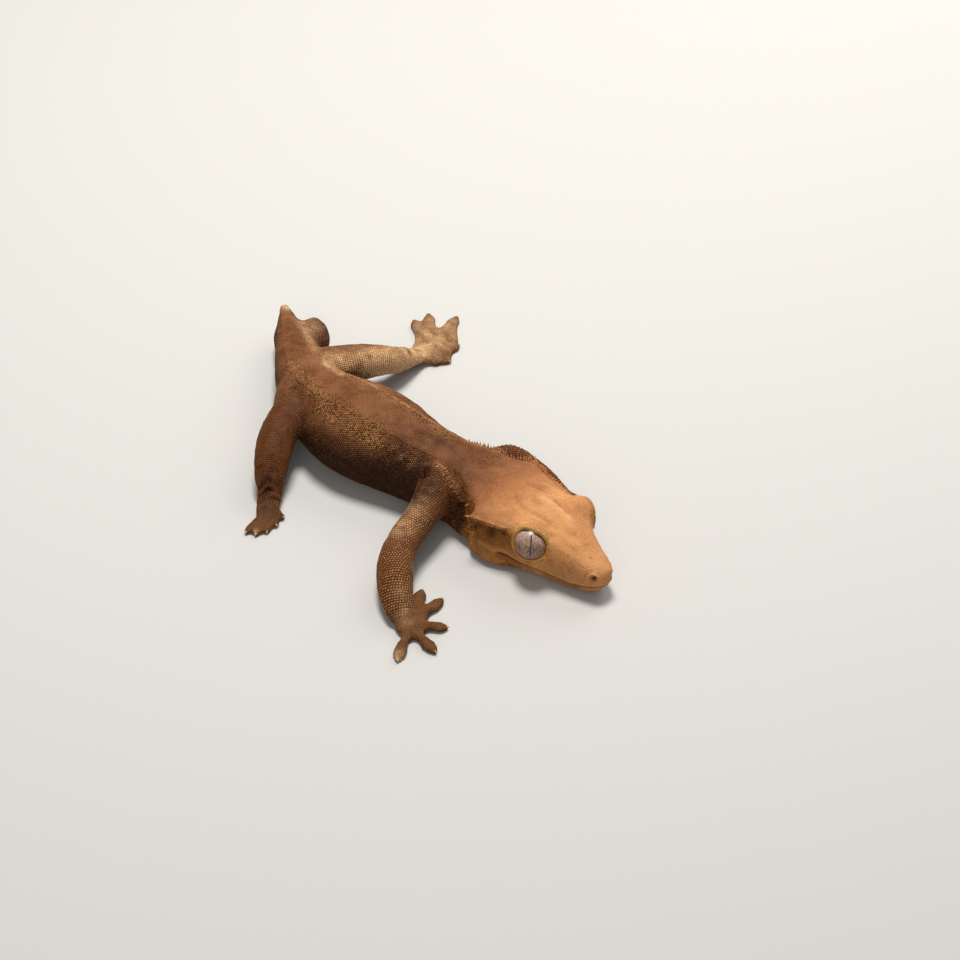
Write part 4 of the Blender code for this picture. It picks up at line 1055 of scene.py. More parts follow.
def nostril_place(side):
    """The middle of a nostril."""
    offset, y, z = NOSTRIL_PLACE
    return np.array((BODY["lip"].x + side * offset, y, z))


def ear_place(side):
    """The middle of an ear."""
    at, share, height = EAR_PLACE
    return body_point(at, side * share, height)


def lip_relief(y, gap, there):
    """How far the lips and their plates stand out, by the height over the line between them."""
    depth, width, shallower = LIP_LINE
    relief = np.zeros(len(y))
    relief -= there * (depth - shallower * rise(y, -46, -38)) * bell(gap, width)
    offset, width, height = UPPER_LIP
    relief += there * height * bell(gap - offset, width)
    relief -= there * CHIN_DEPTH * (1 - rise(gap, -0.5, 0.0)) * rise(gap, -3.5, -1.5)
    offset, width, height = LOWER_LIP
    relief += there * height * bell(gap - offset, width)
    seams = np.abs((y / PLATE_LENGTH) % 1 - 0.5) * PLATE_LENGTH
    relief -= there * PLATE_DEPTH * bell(seams, PLATE_SEAM) * bell(np.abs(gap) - 0.55, 0.4)
    return relief


def head_relief(points, kind, along):
    """How far the head's small forms stand out of the skin: lips, nostrils, ears and crests."""
    head = (kind == 0) & (along < PLACES["nape"])
    y = points[:, 1]
    relief = lip_relief(y, points[:, 2] - mouth_height(y), head * (1 - rise(y, *LIP_END)))
    for side in (-1, 1):
        depth, width = NOSTRIL_HOLE
        away = points - nostril_place(side)
        far = lengths(away * NOSTRIL_SQUEEZE)
        relief -= depth * bell(far, width)
        ring, width, height = NOSTRIL_RIM
        relief += height * bell(far - ring, width) * rise(away[:, 2], -0.5, 0.3)
        depth, width = EAR_HOLE
        away = (points - ear_place(side)) * EAR_SQUEEZE
        relief -= depth * bell(lengths(away), width)
    for side in (-1, 1):
        line = crest_line(side)
        height, width = CREST_EDGE
        away, share = line_distance(points, line)
        fade = rise(share, 0, 0.2) * (1 - rise(share, 0.92, 1))
        relief += height * fade * bell(away, width)
        depth, width = LEDGE
        out, back, up = LEDGE_BELOW
        away, share = line_distance(points, np.array(line) + (side * out, back, up))
        relief -= depth * rise(share, 0.5, 0.68) * (1 - rise(share, 0.94, 1)) * bell(away, width)
    return relief


def crest_line(side):
    """The crest's edge from the shoulders forward to the eye."""
    if side < 0:
        return CREST_RIGHT
    return [ridge_point(at, side) for at in stations(PLACES["shoulder"], PLACES["temple"] - 0.7, 0.25)]


def back_line(side):
    """The row of small spines along one side of the back, from the shoulders to the hips."""
    return [ridge_point(at, side) for at in stations(PLACES["shoulder"], PLACES["hip_front"], 0.25)]


def fold_relief(points):
    """How far folds, hollows and the skin's unevenness stand out. Folds are fullest in their middle."""
    relief = np.zeros(len(points))
    for line, width, height in FOLDS.values():
        away, share = line_distance(points, line)
        relief += height * bell(away, width) * (0.35 + 0.65 * np.sin(math.pi * np.clip(share, 0.02, 0.98)))
    for height, scale in UNEVEN:
        relief = relief + height * unevenness(points, scale)
    return relief


def ridge_point(at, side):
    """The place of the brow, crest or back row at a station."""
    s, foot, left, _ = body_frame(at)
    return foot + left * (side * s.ridge) + np.array((0, 0, s.ridge_z))


def body_point(at, share, height):
    """A place beside the middle line, at a share of the half width there."""
    s, foot, left, _ = body_frame(at)
    return foot + left * (share * s.flank) + np.array((0, 0, height))


def store(mesh, name, values):
    """Stores a number or a row of three on each of the mesh's points."""
    kind, field = ("FLOAT_VECTOR", "vector") if np.ndim(values) == 2 else ("FLOAT", "value")
    attribute = mesh.attributes.new(name, kind, "POINT")
    attribute.data.foreach_set(field, np.ascontiguousarray(values, np.float32).ravel())


def part_masks(mesh, kind, along, around, edges):
    """Stores which part of the animal each point is on, softened so that colours run into each other."""
    body, limbs, toes = kind == 0, (kind >= 1) & (kind <= len(LIMBS)), kind > len(LIMBS)
    side = np.abs(around)
    cheek = body * (along < PLACES["nape"]) * rise(side, 0.27, 0.36)
    masks = {
        "head": (body * (1 - rise(along, PLACES["jaw"] - 0.6, PLACES["nape_rear"] + 0.6)), 20),
        "limb": (limbs * rise(along, 1.2, 2.4) + toes, 12),
        "paw": (limbs * rise(along, 6.0, 7.0) + toes, 8),
        "rear": (body * rise(along, PLACES["temple"], PLACES["crest_turn"]), 20),
        # The low sides, whose darker brown is partly painted shade.
        "low": (body * rise(side, 0.3, 0.55), 10),
        "cheek": (cheek * rise(along, PLACES["brow_front"], PLACES["temple"]), 6),
        "arm": (((kind == 1) + 0.35 * (kind == 2)) * rise(along, 1.4, 2.6), 10),
    }
    for name, (values, rounds) in masks.items():
        store(mesh, name, eased(values.astype(float), edges, EASING, rounds))


def line_masks(mesh, points):
    """Stores where the crests, the strokes of pale and dark colour and the back's bands lie. The dark
    strokes are painted shade, and the pale ones on the left leg painted light.
    """
    warm, bands = np.zeros(len(points)), np.zeros(len(points))
    for side in (-1, 1):
        away, share = line_distance(points, crest_line(side))
        warm = np.maximum(warm, bell(away, 0.8) * rise(share, 0, 0.1))
    store(mesh, "warm", warm)
    broken = unevenness(points, 0.55)
    for tone, strokes in STROKES.items():
        total = np.zeros(len(points))
        for line, width, strength in strokes.values():
            total += strength * bell(line_distance(points, line)[0], width)
        store(mesh, tone, np.clip(total * (1 + broken), 0, 1))
    for line in BANDS:
        bands = np.maximum(bands, bell(line_distance(points, line)[0], 1.7))
    store(mesh, "band", np.clip(bands * (0.85 + 0.8 * unevenness(points, 0.5, 7)), 0, 1))


def face_masks(mesh, points, kind, along, edges):
    """Stores where the lips and eye rims lie, where shade is painted into the hollows and round each eye,
    where two small dark spots lie, and where the skin is bare of scales.

    Widths are in millimetres, and round the eyes in degrees past the opening's edge.
    """
    jaws = (kind == 0) * (along < PLACES["jaw_corner"])
    y = points[:, 1]
    gap = points[:, 2] - mouth_height(y)
    store(mesh, "lip", eased(jaws * bell(gap - 0.5, 0.5), edges, EASING, 1))
    bare = jaws * bell(gap, 0.85) * (1 - rise(y, -38.6, -37.0))
    # Pits are painted shade in the nostrils, ears and the line between the lips, with two small dark spots.
    pits, rim, socket, orbit = (np.zeros(len(points)) for _ in range(4))
    for side in (-1, 1):
        far = lengths(points - nostril_place(side))
        bare = np.maximum(bare, bell(far, 1.05))
        pits = np.maximum(pits, bell(far, 0.55))
        pits = np.maximum(pits, bell(lengths(points - ear_place(side)), 0.6))
    for spot in SPOTS:
        pits = np.maximum(pits, 0.8 * bell(lengths(points - spot), 0.3))
    pits = np.maximum(pits, jaws * bell(gap, 0.2) * 0.85 * (y < LIP_END[0]))
    for eye in EYES.values():
        radius, past, _ = eye_angles(eye, points)
        near = 1 - rise(radius, 4.3, 4.9)
        facing = (points - eye.centre) @ unit((0.0, -0.6, 0.8)) / radius
        rim += bell(past - 5, 4) * near * (0.4 + 0.8 * rise(facing, -0.6, 0.4))
        # A painted shadow ring just outside each eye's rim.
        orbit += bell(past - 11.5, 3.5) * near
        bare = np.maximum(bare, bell(past - 3, 4) * near)
        socket += (1 - rise(past, 0, 3)) * (radius < 4.3)
    masks = {"bare": bare, "pit": pits, "rim": np.minimum(rim, 1), "orbit": orbit, "socket": socket}
    for name, values in masks.items():
        store(mesh, name, values)


def node(tree, kind, inputs=(), **settings):
    """Adds a node, sets its properties, and feeds its inputs with links or plain values.

    Where a range is mapped, inputs 1 and 2 are the values that come in and 3 and 4 what they turn into.
    """
    made = tree.nodes.new(kind)
    for name, value in settings.items():
        setattr(made, name, value)
    for socket, value in dict(inputs).items():
        if isinstance(value, bpy.types.NodeSocket):
            tree.links.new(value, made.inputs[socket])
        else:
            made.inputs[socket].default_value = value
    return made


def new_material(name, looks):
    """A new material with its node tree and shader, whose plain values are given by socket name."""
    material = bpy.data.materials.new(name)
    material.use_nodes = True
    tree = material.node_tree
    shader = tree.nodes["Principled BSDF"]
    for socket, value in looks.items():
        shader.inputs[socket].default_value = value
    return material, tree, shader


def painted(tree, base, layers):
    """Lays colours over a base, one over the other, each as strong as its share says."""
    for share, over in layers:
        mix = node(tree, "ShaderNodeMix", {"Factor": share, "A": base, "B": over}, data_type="RGBA")
        base = mix.outputs["Result"]
    return base


def markings(tree, skin, place, on):
    """The animal's colours over skin and scales alike, from the masks stored on them. Some are painted shade
    and painted light.
    """
    looks = {"Vector": place, "Scale": CLOUDS_PER_MM / MM, "Detail": 5.0}
    clouds = node(tree, "ShaderNodeTexNoise", looks).outputs["Fac"]
    pale = node(tree, "ShaderNodeMapRange", {0: clouds, 1: 0.4, 2: 0.62, 3: 0.0, 4: 1.0}).outputs[0]
    blotch = node(tree, "ShaderNodeMapRange", {0: clouds, 1: 0.42, 2: 0.64, 3: 0.0, 4: 0.95}).outputs[0]
    shadow = node(tree, "ShaderNodeMath", {0: on["orbit"], 1: 0.55}, operation="MULTIPLY").outputs[0]
    head = painted(
        tree, skin.head, ((blotch, skin.blotch), (on["rear"], skin.crown), (on["cheek"], skin.cheek))
    )
    layers = (
        (pale, skin.pale_back),
        # The low flanks darken, partly as painted shade.
        (on["low"], skin.flank),
        (on["limb"], skin.limb),
        (on["paw"], skin.paw),
        (on["head"], head),
        (on["lip"], skin.lip),
        (shadow, skin.orbit),
        (on["rim"], skin.rim),
        # Pale strokes: cream markings and painted light on the left leg. Dark strokes: painted shade.
        (on["pale"], skin.cream),
        (on["dark"], skin.shade),
        (on["warm"], skin.crest),
        # Painted shade in the nostrils, ears and mouth line, with two small dark spots.
        (on["pit"], skin.pit),
    )
    return painted(tree, skin.back, layers)


def skin_material(skin):
    """Dry skin of a gecko, grown in a fine grain, which shows in the gaps between its scales.

    To the eye it is matt, with next to no shine, and dark, because little light gets in between the scales.
    It is lighter on the head and where it is bare, as on the lips and round the eyes.
    """
    # Skin's index of about 1.5 is the shader's own, so only its roughness and its weak shine are set.
    looks = {"Roughness": 0.62, "Specular IOR Level": 0.12}
    material, tree, shader = new_material("matt_granular_skin", looks)
    place = node(tree, "ShaderNodeTexCoord").outputs["Object"]
    on = {name: node(tree, "ShaderNodeAttribute", attribute_name=name).outputs["Fac"] for name in MASKS}
    base = markings(tree, skin, place, on)
    # The skin between the scales is dimmed to half as painted shade, less on the head and bare skin, then
    # warmed.
    bare = node(tree, "ShaderNodeMapRange", {0: on["bare"], 1: 0.3, 2: 0.7, 3: 0.0, 4: 1.0}).outputs[0]
    open_skin = node(tree, "ShaderNodeMath", {0: bare, 1: on["head"]}, operation="MAXIMUM").outputs[0]
    depth = node(tree, "ShaderNodeMapRange", {0: open_skin, 1: 0.0, 2: 1.0, 3: 0.5, 4: 0.82}).outputs[0]
    dim = node(tree, "ShaderNodeVectorMath", {0: base, "Scale": depth}, operation="SCALE").outputs[0]
    warm = node(tree, "ShaderNodeVectorMath", {0: dim, 1: WARM_GAPS}, operation="MULTIPLY").outputs[0]
    tree.links.new(warm, shader.inputs["Base Color"])
    grain = node(tree, "ShaderNodeTexVoronoi", {"Vector": place, "Scale": GRAIN_PER_MM / MM})
    height = {"Height": grain.outputs["Distance"], "Strength": 0.5, "Distance": GRAIN_DEPTH * MM}
    bump = node(tree, "ShaderNodeBump", height, invert=True)
    tree.links.new(bump.outputs["Normal"], shader.inputs["Normal"])
    return material


def finished(obj, material, nodes):
    """Turns a piece made in millimetres to metres, gives it its finish and puts it on the model."""
    obj.data.transform(Matrix.Scale(MM, 4))
    obj.data.materials.clear()
    obj.data.materials.append(material)
    obj.data.shade_smooth()
    if nodes:
        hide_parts(*nodes)
    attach(obj, "root")


FLESH = [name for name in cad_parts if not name.startswith("eye_")]


class MakeSkin(bpy.types.Operator):
    """One unbroken skin over the whole animal, with its lips, nostrils, eye rims and folds"""

    bl_idname = "gecko.make_skin"
    bl_label = "Skin"

    def execute(self, context):
        settings = context.scene.gecko_skin
        form = Form()
        add_body(form)
        for number, name in enumerate(LIMBS, 1):
            add_limb(form, number, name)
        obj = form.object("skin")
        remeshed(obj, settings.fineness / MM)
        mesh = obj.data
        edges = edges_of(mesh)
        points = eased(points_of(mesh), edges, EASING, FIRST_ROUNDS)
        kind, along, _ = places_of(form, points)
        points = eased(points, edges, EASING * join_share(points, kind, along), JOIN_ROUNDS)
        set_points(mesh, points)
        refine_head(mesh)
        edges = edges_of(mesh)
        points = eased(points_of(mesh), edges, EASING, LAST_ROUNDS)
        kind, along, around = places_of(form, points)
        open_eyes(points)
        set_points(mesh, points)
        flat = points.copy()
        relief = head_relief(points, kind, along) + fold_relief(points) - settings.depth / MM
        points = points + normals_of(mesh) * relief[:, None]
        points[:, 2] = np.maximum(points[:, 2], LOWEST_SKIN)
        set_points(mesh, points)
        part_masks(mesh, kind, along, around, edges)
        line_masks(mesh, flat)
        face_masks(mesh, flat, kind, along, edges)
        for name, values in (("kind", kind), ("along", along), ("around", around)):
            store(mesh, name, values)
        unwrapped(obj)
        finished(obj, skin_material(settings), FLESH)
        return {"FINISHED"}


def unwrapped(obj):
    """Lays the skin's surface out flat, as the map that the scales' places are read from."""
    for other in bpy.context.selected_objects:
        other.select_set(False)
    bpy.context.view_layer.objects.active = obj
    obj.select_set(True)
    obj.data.uv_layers.new(name=BAKE_MAP)
    bpy.ops.object.mode_set(mode="EDIT")
    bpy.ops.mesh.select_all(action="SELECT")
    bpy.ops.uv.smart_project(angle_limit=math.radians(MAP_ANGLE), island_margin=MAP_GAP)
    bpy.ops.object.mode_set(mode="OBJECT")
    obj.select_set(False)


def scale_object(name, rings, sides):
    """One scale of unit radius and height: a closed dome or spike, with its map patch and heights stored."""
    points = []
    for radius, height in rings:
        for i in range(sides):
            turn = 2 * math.pi * i / sides
            points.append((radius * math.cos(turn), radius * math.sin(turn), height))
    points.append((0, 0, 1.0))
    faces = [tuple(reversed(range(sides)))]
    for r in range(len(rings) - 1):
        for i in range(sides):
            j = (i + 1) % sides
            faces.append((r * sides + i, r * sides + j, (r + 1) * sides + j, (r + 1) * sides + i))
    last = (len(rings) - 1) * sides
    faces += [(last + i, last + (i + 1) % sides, last + sides) for i in range(sides)]
    mesh = bpy.data.meshes.new(name)
    mesh.from_pydata(points, [], faces)
    store(mesh, "patch", [(x, y, 0) for x, y, _ in points])
    store(mesh, "tip", [max(0.0, z) for _, _, z in points])
    return bpy.data.objects.new(name, mesh)


# The laying tree's inputs, and the facts that it reads from the points it sets shapes on.
LAYING_INPUTS = {
    "Geometry": "NodeSocketGeometry",
    "Width": "NodeSocketFloat",
    "Height": "NodeSocketFloat",
    "Shape": "NodeSocketObject",
    "Finish": "NodeSocketMaterial",
}
LAYING_FACTS = {
    "way": "FLOAT_VECTOR",
    "wide": "FLOAT",
    "high": "FLOAT",
    "root": "FLOAT_VECTOR",
    "patch": "FLOAT_VECTOR",
}


def laying_tree():
    """One small shape set on every point of a mesh, turned along the point's way, and made real."""
    tree = bpy.data.node_groups.new("laid_shapes", "GeometryNodeTree")
    for name, kind in LAYING_INPUTS.items():
        tree.interface.new_socket(name, in_out="INPUT", socket_type=kind)
    tree.interface.new_socket("Geometry", in_out="OUTPUT", socket_type="NodeSocketGeometry")
    given = node(tree, "NodeGroupInput").outputs
    stored = {}
    for name, kind in LAYING_FACTS.items():
        fact = node(tree, "GeometryNodeInputNamedAttribute", {"Name": name}, data_type=kind)
        stored[name] = fact.outputs[0]
    wide = node(tree, "ShaderNodeMath", {0: stored["wide"], 1: given["Width"]}, operation="MULTIPLY")
    high = node(tree, "ShaderNodeMath", {0: stored["high"], 1: given["Height"]}, operation="MULTIPLY")
    size = node(tree, "ShaderNodeCombineXYZ", {0: wide.outputs[0], 1: wide.outputs[0], 2: high.outputs[0]})
    turn = node(tree, "FunctionNodeAlignRotationToVector", {"Vector": stored["way"]}, axis="Z")
    shape = node(tree, "GeometryNodeObjectInfo", {"Object": given["Shape"]})
    places = {"Points": given["Geometry"], "Instance": shape.outputs["Geometry"]}
    places |= {"Rotation": turn.outputs[0], "Scale": size.outputs[0]}
    placed = node(tree, "GeometryNodeInstanceOnPoints", places)
    real = node(tree, "GeometryNodeRealizeInstances", {"Geometry": placed.outputs[0]})
    shift = node(tree, "ShaderNodeVectorMath", {0: stored["patch"], "Scale": PATCH}, operation="SCALE")
    spot = node(tree, "ShaderNodeVectorMath", {0: stored["root"], 1: shift.outputs[0]}, operation="ADD")
    spots = {"Geometry": real.outputs[0], "Name": BAKE_MAP, "Value": spot.outputs[0]}
    mapped = node(tree, "GeometryNodeStoreNamedAttribute", spots, data_type="FLOAT2", domain="CORNER")
    finish = {"Geometry": mapped.outputs[0], "Material": given["Finish"]}
    dressed = node(tree, "GeometryNodeSetMaterial", finish)
    node(tree, "NodeGroupOutput", {0: dressed.outputs[0]})
    return tree


def laid(name, ground, points, shape, finish):
    """Sets a shape on points given as a table of place, way, width and height, and finishes the piece."""
    places, facts = ground.under(points["place"])
    mesh = bpy.data.meshes.new(name)
    mesh.from_pydata(places.tolist(), [], [])
    facts.update({fact: points[fact] for fact in ("way", "wide", "high", "tone")})
    for fact, values in facts.items():
        store(mesh, fact, values)
    obj = linked(name, mesh)
    modifier = obj.modifiers.new("lay", "NODES")
    modifier.node_group = bpy.data.node_groups.get("laid_shapes") or laying_tree()
    values = {"Width": 1.0, "Height": 1.0, "Shape": shape, "Finish": finish}
    for item in modifier.node_group.interface.items_tree:
        if item.in_out == "INPUT" and item.name in values:
            modifier[item.identifier] = values[item.name]
    made_real(obj)
    obj.data.name = name
    finished(obj, finish, ())


class Ground:
    """The finished skin in millimetres, to set scales and spines on."""

    def __init__(self):
        """Reads the skin's points, faces, map and masks."""
        mesh = bpy.data.objects["skin"].data
        self.points = points_of(mesh) / MM
        self.normals = normals_of(mesh)
        faces = [tuple(p.vertices) for p in mesh.polygons]
        self.tree = BVHTree.FromPolygons(self.points.tolist(), faces)
        self.corner = np.array([face[0] for face in faces])
        uv = values_of(mesh.uv_layers[BAKE_MAP].data, "uv", 2)
        starts = values_of(mesh.polygons, "loop_start", kind=np.int32)
        self.flat = (uv[starts] + uv[starts + 2]) / 2
        self.masks = {name: values_of(mesh.attributes[name].data, "value") for name in MASKS}
        self.kind, self.along, self.around = (
            values_of(mesh.attributes[name].data, "value") for name in ("kind", "along", "around")
        )

    def nearest(self, places):
        """The nearest place on the skin to each place, the face there, and how far off it is."""
        found = [self.tree.find_nearest(place) for place in places]
        return (
            np.array([hit[0] for hit in found]),
            np.array([hit[2] for hit in found]),
            np.array([hit[3] for hit in found]),
        )

    def under(self, places):
        """The places put on the skin, with the skin's colour masks and flat map there."""
        on, face, _ = self.nearest(places)
        corner = self.corner[face]
        facts = {name: values[corner] for name, values in self.masks.items()}
        facts["root"] = np.column_stack([self.flat[face], np.zeros(len(face))])
        return on, facts


def run_of(line):
    """How far along a line each of its corners lies."""
    return np.concatenate([[0], np.cumsum(lengths(np.diff(line, axis=0)))])


def places_on(line, run, at):
    """The places at distances along a line."""
    return np.stack([np.interp(at, run, line[:, k]) for k in range(3)], 1)


def spaced(ring, spacing, shift):
    """Places at even steps round a closed ring, the first one moved along by a share of a step."""
    closed = np.vstack([ring, ring[:1]])
    run = run_of(closed)
    count = max(3, round(run[-1] / spacing))
    return places_on(closed, run, (np.arange(count) + shift) / count * run[-1])


def rows(ring_at, start, end, spacing):
    """Places in even rows over a tube, each row half a step out of line with the last."""
    made, travelled, last = [], spacing, None
    for at in stations(start, end, RING_SEARCH):
        ring = ring_at(at)
        if last is not None:
            travelled += lengths(ring - last).mean()
        last = ring
        if travelled >= ROW_STEP * spacing:
            travelled = 0.0
            made.append(spaced(ring, spacing, 0.5 * (len(made) % 2)))
    return np.concatenate(made)


def ball_rows(centre, way, radius, spacing, widest):
    """Places in even rows round a ball, from the way it faces to the widest angle from it, in degrees."""
    way = unit(way)
    side = unit(np.cross(way, (0.3, 0.2, 0.9)))
    other = np.cross(way, side)
    made = []
    for angle in np.arange(FIRST_ANGLE, widest, math.degrees(ROW_STEP * spacing / radius)):
        wide, far = radius * math.sin(math.radians(angle)), radius * math.cos(math.radians(angle))
        turn = turns(90)
        ring = np.array(centre) + way * far + (side * np.cos(turn) + other * np.sin(turn)) * wide
        made.append(spaced(ring, spacing, 0.5 * (len(made) % 2)))
    return np.concatenate(made)


def apart(places, least, taken):
    """Which places stand clear of those already taken, which they then join.

    The places taken are kept by cells of space, so that only near ones are looked at.
    """
    kept = np.zeros(len(places), bool)
    steps = [(i, j, k) for i in (-1, 0, 1) for j in (-1, 0, 1) for k in (-1, 0, 1)]
    keys = np.floor(places / CELL).astype(int)
    for n, ((x, y, z), key) in enumerate(zip(places, keys)):
        near = [q for i, j, k in steps for q in taken.get((key[0] + i, key[1] + j, key[2] + k), ())]
        if all((x - q[0]) ** 2 + (y - q[1]) ** 2 + (z - q[2]) ** 2 > least**2 for q in near):
            taken.setdefault(tuple(key), []).append((x, y, z))
            kept[n] = True
    return kept


def scale_material(skin):
    """Dry horny scales of a gecko, each a thin dome of horn over the skin.

    To the eye they are almost matt, dark at their edges, where shade is painted in against the skin, and
    paler towards their tops. The tops are cream on the arms, tan on the head, and some are nearly black in
    the back's bands.
    """
    # Horn's index of about 1.55 is near the shader's own. Its worn surface shines a little more than skin.
    looks = {"Roughness": 0.6, "Specular IOR Level": 0.15}
    material, tree, shader = new_material("dry_horny_scales", looks)
    place = node(tree, "ShaderNodeTexCoord").outputs["Object"]
    on = {
        name: node(tree, "ShaderNodeAttribute", attribute_name=name).outputs["Fac"]
        for name in (*MASKS, "tip", "tone")
    }
    base = markings(tree, skin, place, on)
    speck = node(tree, "ShaderNodeTexNoise", {"Vector": place, "Scale": SPECKS_PER_MM / MM, "Detail": 2.0})
    specks = {0: speck.outputs["Fac"], 1: 0.45, 2: 0.68, 3: 0.0, 4: 0.55}
    speckled = node(tree, "ShaderNodeMapRange", specks).outputs[0]
    # Painted shade of the dark strokes, a little weaker on the scales' tops.
    dim = node(tree, "ShaderNodeMath", {0: on["dark"], 1: 0.75}, operation="MULTIPLY").outputs[0]
    crown = painted(tree, skin.tip_head, ((on["rear"], skin.tip_crown), (speckled, base)))
    layers = (
        # The low flanks' scales darken, partly as painted shade.
        (on["low"], skin.tip_flank),
        (speckled, skin.tip_speck),
        (on["head"], crown),
        (on["cheek"], skin.tip_cheek),
        (on["limb"], skin.tip_leg),
        (on["arm"], skin.tip_arm),
        (on["paw"], skin.tip_paw),
        (on["rim"], skin.rim),
        (on["band"], skin.tip_band),
        # Cream markings and painted light on the left leg, then painted shade under the dark strokes.
        (on["pale"], skin.tip_cream),
        (dim, skin.tip_shade),
        (on["warm"], skin.tip_crest),
    )
    tip = painted(tree, skin.tip_back, layers)
    lower = {0: on["arm"], 1: 0.35, 2: 0.2}
    start = node(tree, "ShaderNodeMath", lower, operation="MULTIPLY_ADD").outputs[0]
    top = node(tree, "ShaderNodeMapRange", {0: on["tip"], 1: start, 2: 0.95, 3: 0.0, 4: 1.0}).outputs[0]
    tone = node(tree, "ShaderNodeMapRange", {0: on["tone"], 1: 0.0, 2: 1.0, 3: 0.45, 4: 1.0}).outputs[0]
    share = node(tree, "ShaderNodeMath", {0: top, 1: tone}, operation="MULTIPLY").outputs[0]
    # Each scale's edge is its skin's colour dimmed, painted shade where the scale meets the skin.
    depth = node(tree, "ShaderNodeMapRange", {0: on["head"], 1: 0.0, 2: 1.0, 3: 0.62, 4: 0.93}).outputs[0]
    edge = node(tree, "ShaderNodeVectorMath", {0: base, "Scale": depth}, operation="SCALE").outputs[0]
    dot = node(tree, "ShaderNodeMapRange", {0: on["tone"], 1: -1.0, 2: 0.0, 3: 0.75, 4: 0.0}).outputs[0]
    shade = painted(tree, edge, ((share, tip), (dot, skin.dot)))
    tree.links.new(shade, shader.inputs["Base Color"])
    return material


class MakeScales(bpy.types.Operator):
    """Small domed scales over the whole skin, in one coat for each part of the animal"""

    bl_idname = "gecko.make_scales"
    bl_label = "Scales"

    def execute(self, context):
        settings = context.scene.gecko_scales
        ground = Ground()
        material = scale_material(context.scene.gecko_skin)
        dome = scale_object("granule", DOME_RINGS, 5)
        draw = np.random.default_rng(settings.seed)
        taken = {}
        parts = parts_of(ground)
        for name, coat in COATS.items():
            spacing = getattr(settings, coat.part) / MM
            on, corner = coat_places(coat, spacing, parts[coat.part], ground, draw, taken)
            table = coat_table(coat, spacing, on, corner, ground, draw)
            laid(name, ground, table, dome, material)
        bpy.data.objects.remove(dome)
        return {"FINISHED"}


def coat_places(coat, spacing, part, ground, draw, taken):
    """Where a coat's scales stand on the skin, clear of those laid before, and the skin's point at each."""
    places = coat_rows(coat.part, spacing)
    places += draw.normal(0, coat.stray * spacing, places.shape)
    on, face, off = ground.nearest(places)
    corner = ground.corner[face]
    shown = (off < coat.reach) & (on[:, 2] > LOWEST_SCALE) & part[corner]
    shown &= (ground.masks["socket"][corner] < SOCKET_EDGE) & (ground.normals[corner, 2] > UNDERSIDE)
    shown &= ground.masks["bare"][corner] < BARE_EDGE
    on, corner = on[shown], corner[shown]
    clear = apart(on, CLEARANCE * spacing, taken)
    return on[clear], corner[clear]


def coat_table(coat, spacing, on, corner, ground, draw):
    """Each scale's place, way, size and tone. A tone of -1 makes it nearly black."""
    tone = draw.random(len(on))
    band = ground.masks["band"][corner]
    tone[draw.random(len(on)) < DOT_SHARE * band] = -1
    size = (LEAST_SIZE + PALE_GROWTH * np.abs(tone)) * (1 + BAND_GROWTH * band)
    return {
        "place": on,
        "way": ground.normals[corner],
        "wide": spacing * coat.wide * size,
        "high": spacing * coat.height * size * (1 + BAND_RISE * band * (tone > 0)),
        "tone": tone,
    }


def parts_of(ground):
    """Which points of the skin each part's scales cover."""
    body, side = ground.kind == 0, np.abs(ground.around)
    head = body & (ground.along < HEAD_END + RAGGED * unevenness(ground.points, 0.9))
    arms = [number for number, name in enumerate(LIMBS, 1) if name.startswith("arm")]
    legs = [number for number, name in enumerate(LIMBS, 1) if name.startswith("leg")]
    return {
        "head": head & (side < CROWN_SHARE),
        "cheek": head & (side >= CROWN_SHARE),
        "arm": np.isin(ground.kind, arms),
        "leg": np.isin(ground.kind, legs),
        "back": body & ~head & (side < BACK_SHARE),
        "flank": body & ~head & (side >= BACK_SHARE),
        "paw": ground.kind > 0,
    }


def coat_rows(part, spacing):
    """Rows of places over a part of the animal, and a little beyond it."""
    if part in ("head", "cheek"):
        made = []
        for eye in EYES.values():
            made.append(ball_rows(eye.centre, eye.opening, ORBIT_RADIUS, spacing, ORBIT_ANGLE))
        made += [snout_rows(spacing), rows(body_ring, 0, HEAD_END + OVERLAP, spacing)]
    elif part in ("arm", "leg"):
        limbs = [limb for name, limb in LIMBS.items() if name.startswith(part)]
        made = [rows(lambda at, limb=limb: limb_ring(limb, at), 0, len(limb) - 1, spacing) for limb in limbs]
    elif part == "paw":
        made = []
        for paw in PAWS.values():
            middle = np.array((paw.x, paw.y, paw.height * PALM_RISE))
            made += [toe_rows(middle, tip, spacing) for tip in paw.tips]
            made.append(field(middle, PALM_REACH * paw.half_length, spacing))
    else:
        made = [rows(body_ring, HEAD_END - OVERLAP, len(SECTIONS) - 1, spacing)]
        if part == "flank":
            made += vent_rows(spacing)
    return np.concatenate(made)


def field(middle, reach, spacing):
    """Places in even rows over a round flat field a little above the ground."""
    count = int(reach / spacing)
    made = []
    for j in range(-count, count + 1):
        for i in range(-count, count + 1):
            x, y = (i + 0.5 * (j % 2)) * spacing, j * spacing * ROW_STEP
            if x * x + y * y < reach * reach:
                made.append((middle[0] + x, middle[1] + y, FIELD_HEIGHT))
    return np.array(made)


def vent_rows(spacing):
    """Places round the swellings beside the vent."""
    _, foot, left, along = body_frame(VENT_STATION)
    wide, long, high = VENT_BULGE_SIZE
    turn = turns(40)

    def ring(at, middle):
        """A ring round a swelling, at a share of its length."""
        ends, across = math.cos(math.pi * at), math.sin(math.pi * at)
        upright = np.array((0, 0, high)) * np.sin(turn) + left * wide * np.cos(turn)
        return middle + along * long * ends + upright * across

    middles = [foot + left * offset + (0, 0, height) for offset, height in VENT_BULGES]
    return [rows(lambda at, m=middle: ring(at, m), *VENT_ROWS, spacing) for middle in middles]


